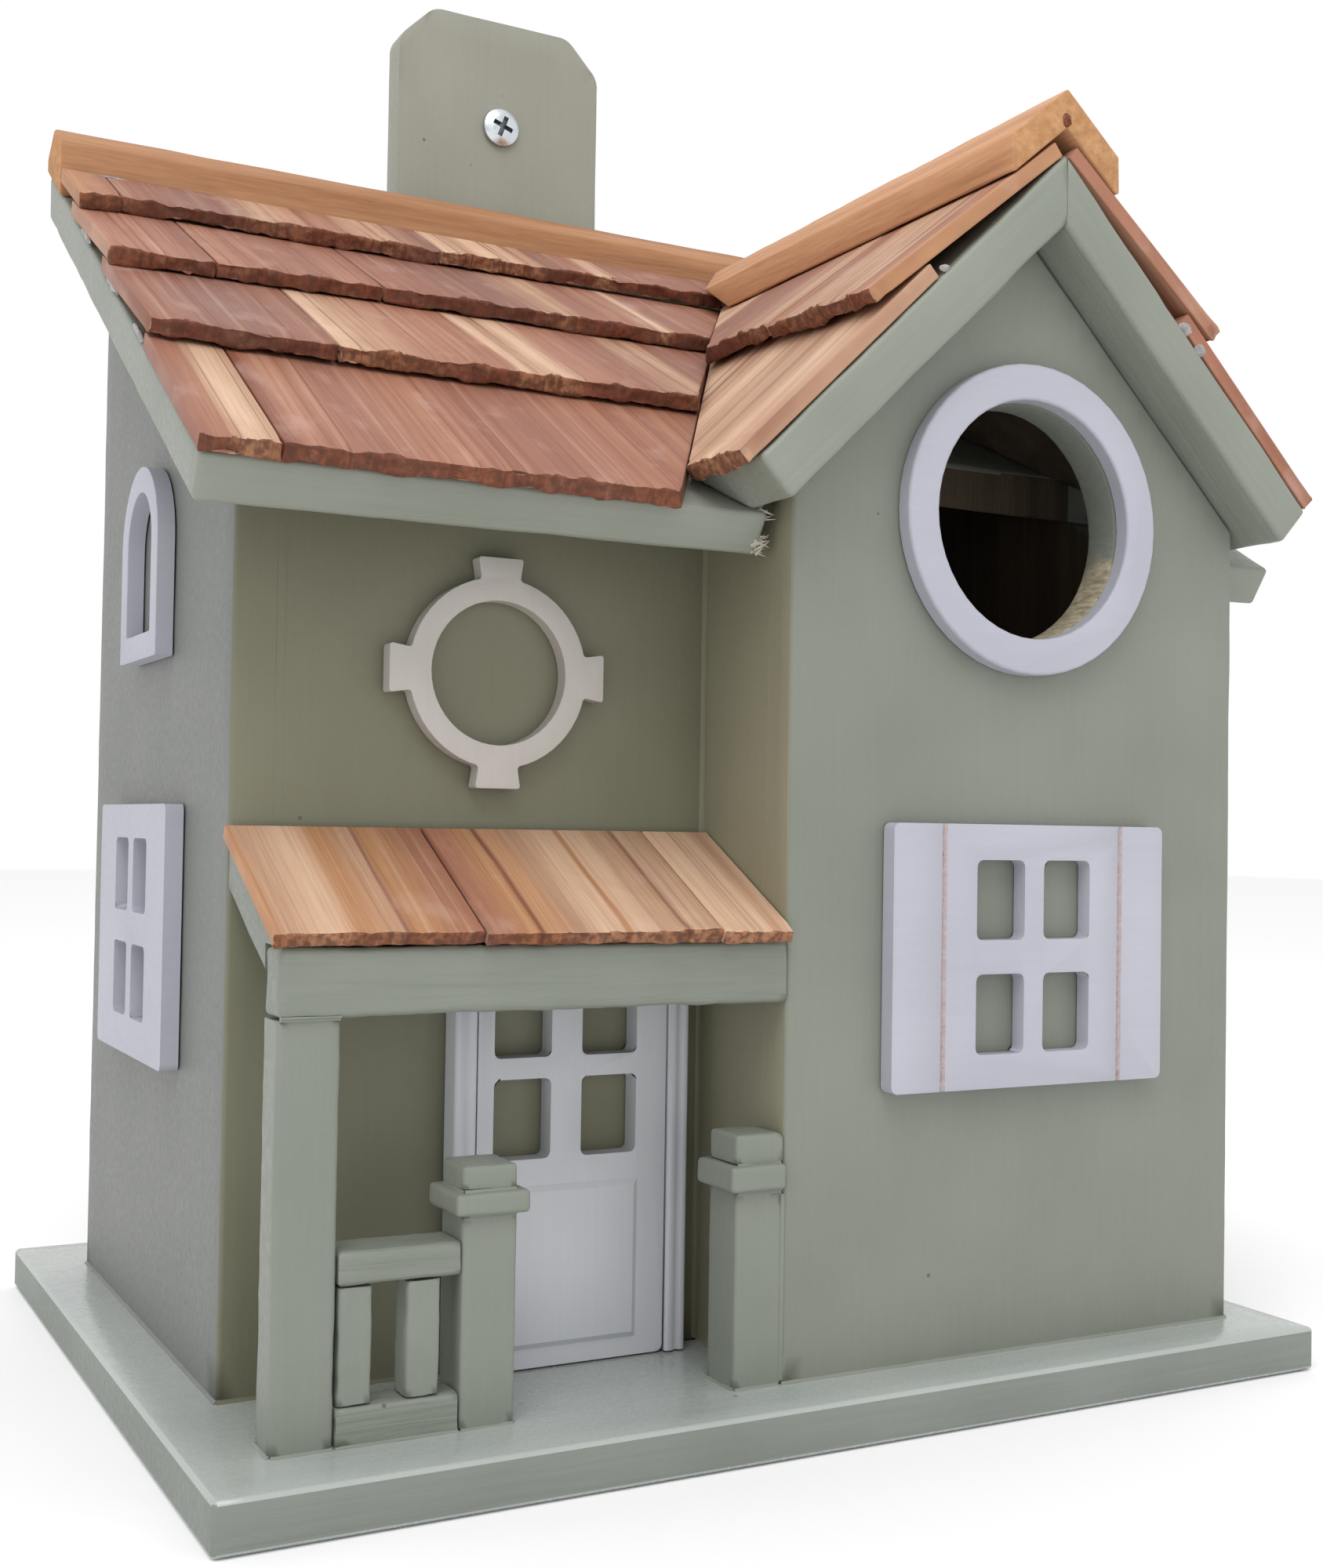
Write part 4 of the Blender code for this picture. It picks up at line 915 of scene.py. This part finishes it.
def makeScrew(node, facing):
    low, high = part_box(node)
    centre = (low + high) / 2
    front = low.y if facing < 0 else high.y
    place = (centre.x, front - facing * screwHead["thick"] / 2, centre.z)
    bpy.ops.mesh.primitive_cylinder_add(vertices=64, radius=screwHead["radius"], depth=screwHead["thick"],
                                        location=place, rotation=(math.radians(-90 * facing), 0, 0))
    head = bpy.context.object
    head.name = node + "_made"
    settle()
    clearSelection(head.data)
    for face in head.data.polygons:
        face.select = face.normal.y * facing > 0.9
    bpy.context.tool_settings.mesh_select_mode = (False, False, True)
    editMode()
    for step in screwHead["rings"]:
        bpy.ops.mesh.inset(thickness=step * mm)
    objectMode()
    # the dome: the outer rings drop back from the crown
    for vertex in head.data.vertices:
        out = Vector((vertex.co.x - centre.x, 0, vertex.co.z - centre.z)).length / screwHead["radius"]
        if (vertex.co.y - place[1]) * facing > 0:
            vertex.co.y -= facing * domeDrop(out)
    shankMiddle = (centre.x, (low.y + high.y - facing * screwHead["thick"]) / 2, centre.z)
    bpy.ops.mesh.primitive_cylinder_add(vertices=24, radius=screwHead["shank"],
                                        depth=(high.y - low.y) - screwHead["thick"], location=shankMiddle,
                                        rotation=(math.radians(90), 0, 0))
    shank = bpy.context.object
    settle()
    cutters = []
    for quarter in (0, 90):
        bpy.ops.mesh.primitive_cube_add(size=1, location=(centre.x, front, centre.z))
        cutter = bpy.context.object
        cutter.scale = (screwHead["cross"], 2 * screwHead["recess"], screwHead["slot"])
        cutter.rotation_euler = (0, math.radians(quarter + screwHead["turn"]), 0)
        settle()
        cutters.append(cutter)
    for tool, operation in [(cutters[0], "DIFFERENCE"), (cutters[1], "DIFFERENCE"), (shank, "UNION")]:
        modifier = head.modifiers.new(operation.lower(), "BOOLEAN")
        modifier.operation = operation
        modifier.object = tool
        applyAll(head)
        bpy.data.objects.remove(tool, do_unlink=True)

    # faces deep in the cross recess take the dark zinc, painted shade inside the recess
    def choose(place, normal):
        out = Vector((place.x - centre.x, 0, place.z - centre.z)).length / screwHead["radius"]
        depth = (front - place.y) * facing
        isDeep = domeDrop(out) + recessShadeFaces["below"] < depth < recessShadeFaces["deepest"]
        return 1 if out < recessShadeFaces["within"] and isDeep else 0

    giveMaterials(head, [zinc, recessShadeZinc], choose)
    smoothByAngle(head, 35)
    register(head, node)


for node, facing in screws.items():
    makeScrew(node, facing)
print("screws made")


# the broken end of the eave, hardened glue and a knot

eaveEnd = Vector((-8.3, -59.5, 136)) * mm
splinters = {
    "eave_splinters_top": {"back": 3, "under": 1.5, "spread": (0.5, 2.5, 1.0), "lean": (1, -0.1, 0.3),
                           "count": 16, "seed": 4},
    "eave_splinters_low": {"back": 0.5, "under": 5, "spread": (0.5, 0.8, 1.6), "lean": (1, -0.5, 0.1),
                           "count": 22, "seed": 9},
}
sliverSize = {"root": (0.15, 0.4), "tip": 0.03, "length": (1.4, 3.4), "stray": 0.6}


def makeSplinters(name, plan):
    # slivers of torn wood fanned about one end
    dice = random.Random(plan["seed"])
    origin = eaveEnd - mainDown * plan["back"] * mm - mainUp * plan["under"] * mm
    slivers = []
    for i in range(plan["count"]):
        place = origin + Vector([dice.uniform(-reach, reach) * mm for reach in plan["spread"]])
        bpy.ops.mesh.primitive_cone_add(vertices=6, radius1=dice.uniform(*sliverSize["root"]) * mm,
                                        radius2=sliverSize["tip"] * mm,
                                        depth=dice.uniform(*sliverSize["length"]) * mm, location=place)
        sliver = bpy.context.object
        stray = sliverSize["stray"]
        aim = Vector(plan["lean"]) + Vector([dice.uniform(-stray, stray) for axis in range(3)])
        sliver.rotation_euler = aim.to_track_quat("Z", "Y").to_euler()
        settle()
        slivers.append(sliver)
    bpy.ops.object.select_all(action="DESELECT")
    for sliver in slivers:
        sliver.select_set(True)
    bpy.context.view_layer.objects.active = slivers[0]
    bpy.ops.object.join()
    piece = bpy.context.object
    piece.name = name
    giveMaterials(piece, [splinterWood])
    smoothByAngle(piece, 50)
    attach(piece, "house")


for name, plan in splinters.items():
    makeSplinters(name, plan)

glueLook = {"tint": colour(0.20, 0.18, 0.18), "pale": colour(0.36, 0.33, 0.32), "rough": 0.3}


def glueMaterial():
    mat = newMaterial("driedGlue")
    cloud = grainNoise(mat, (0.0015, 0.0015, 0.0015), detail=3)
    plug(mat, mixColour(mat, mapRange(mat, cloud, 0.35, 0.65, 0, 1), glueLook["tint"], glueLook["pale"]),
         "Base Color")
    shaderOf(mat).inputs["Roughness"].default_value = glueLook["rough"]
    plug(mat, bump(mat, cloud, 0.2 * mm, 0.6), "Normal")
    return mat


driedGlue = glueMaterial()
glueBeads = {
    "wing_left_glue": {"at": (15.8, -69.9, 174.2), "size": (1.1, 0.3, 0.6)},
    "wing_right_glue_1": {"at": (64.9, -69.9, 171.9), "size": (2.0, 0.5, 1.1)},
    "wing_right_glue_2": {"at": (68.0, -69.9, 168.9), "size": (1.3, 0.5, 1.2)},
    "cap_end_glue": {"at": (-86.5, 41.4, 203.2), "size": (4.5, 1.4, 0.4)},
    "rake_glue_1": {"at": (-93.5, 20.0, 186.0), "size": (0.4, 4.5, 0.6)},
    "rake_glue_2": {"at": (-93.5, -2.0, 172.2), "size": (0.4, 5.5, 0.55)},
    "rake_glue_3": {"at": (-93.5, -22.0, 159.9), "size": (0.4, 4.0, 0.55)},
    "rake_glue_4": {"at": (-93.5, -42.0, 147.7), "size": (0.4, 5.0, 0.5)},
}


def makeGlueBead(name, plan):
    bpy.ops.mesh.primitive_ico_sphere_add(subdivisions=4, radius=1, location=Vector(plan["at"]) * mm)
    bead = bpy.context.object
    bead.name = name
    bead.scale = Vector(plan["size"]) * mm
    if name.startswith("rake"):
        bead.rotation_euler = (mainPitch, 0, 0)
    settle()
    wander(bead, 0.6 * mm, 1.8 * mm)
    giveMaterials(bead, [driedGlue])
    smoothByAngle(bead, 60)
    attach(bead, "house")


knotPlan = {"x": 38.8, "z": 201.2, "size": (0.9, 0.25, 1.2), "dark": colour(0.10, 0.03, 0.015),
            "light": colour(0.30, 0.12, 0.06)}


def makeKnot():
    # a small sound knot where the wing cap's two halves meet
    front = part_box("wing_ridge_cap")[0].y
    place = (knotPlan["x"] * mm, front, knotPlan["z"] * mm)
    bpy.ops.mesh.primitive_uv_sphere_add(segments=32, ring_count=16, radius=1, location=place)
    knot = bpy.context.object
    knot.name = "cap_knot"
    knot.scale = [side * mm for side in knotPlan["size"]]
    settle()
    wander(knot, 0.7 * mm, 1.2 * mm)
    giveMaterials(knot, [sawnEnd("knotWood", knotPlan["dark"], knotPlan["light"])])
    smoothByAngle(knot, 60)
    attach(knot, "house")


for name, plan in glueBeads.items():
    makeGlueBead(name, plan)
makeKnot()
print("splinters and glue made")


# floor, light and camera

stageLook = {"floorSize": 6, "floorHeight": -0.2 * mm, "floorTone": 0.93, "floorRough": 0.9, "sky": 1.0}


def makeStage():
    bpy.ops.mesh.primitive_plane_add(size=stageLook["floorSize"], location=(0, 0, stageLook["floorHeight"]))
    floor = bpy.context.object
    floor.name = "floor"
    mat = newMaterial("paleFloor")
    shaderOf(mat).inputs["Base Color"].default_value = colour(*[stageLook["floorTone"]] * 3)
    shaderOf(mat).inputs["Roughness"].default_value = stageLook["floorRough"]
    floor.data.materials.append(mat)
    world = bpy.data.worlds.new("softSky")
    world.use_nodes = True
    world.node_tree.nodes["Background"].inputs[0].default_value = colour(1, 1, 1)
    world.node_tree.nodes["Background"].inputs[1].default_value = stageLook["sky"]
    bpy.context.scene.world = world
    bpy.context.scene.view_settings.view_transform = "Standard"


keyLight = {"location": (-0.35, -0.55, 1.1), "aim": (0, 0, 0.12), "size": 0.7, "power": 6.0}


def makeLight():
    bpy.ops.object.light_add(type="AREA", location=keyLight["location"])
    light = bpy.context.object
    light.name = "keyLight"
    light.data.size = keyLight["size"]
    light.data.energy = keyLight["power"]
    aim = Vector(keyLight["aim"]) - Vector(keyLight["location"])
    light.rotation_euler = aim.to_track_quat("-Z", "Y").to_euler()


cameraPlace = {"location": (-151.2 * mm, -293.8 * mm, 88.8 * mm), "yaw": -28.16, "pitch": 1.37, "roll": 0.92,
               "lens": 42.18, "near": 0.01}


def makeCamera():
    bpy.ops.object.camera_add(location=cameraPlace["location"])
    camera = bpy.context.object
    camera.data.lens = cameraPlace["lens"]
    camera.data.clip_start = cameraPlace["near"]
    camera.rotation_euler = (math.radians(90 + cameraPlace["pitch"]), 0, math.radians(cameraPlace["yaw"]))
    camera.rotation_euler.rotate_axis("Z", math.radians(cameraPlace["roll"]))
    bpy.context.scene.camera = camera


makeStage()
makeLight()
makeCamera()
print("stage made")
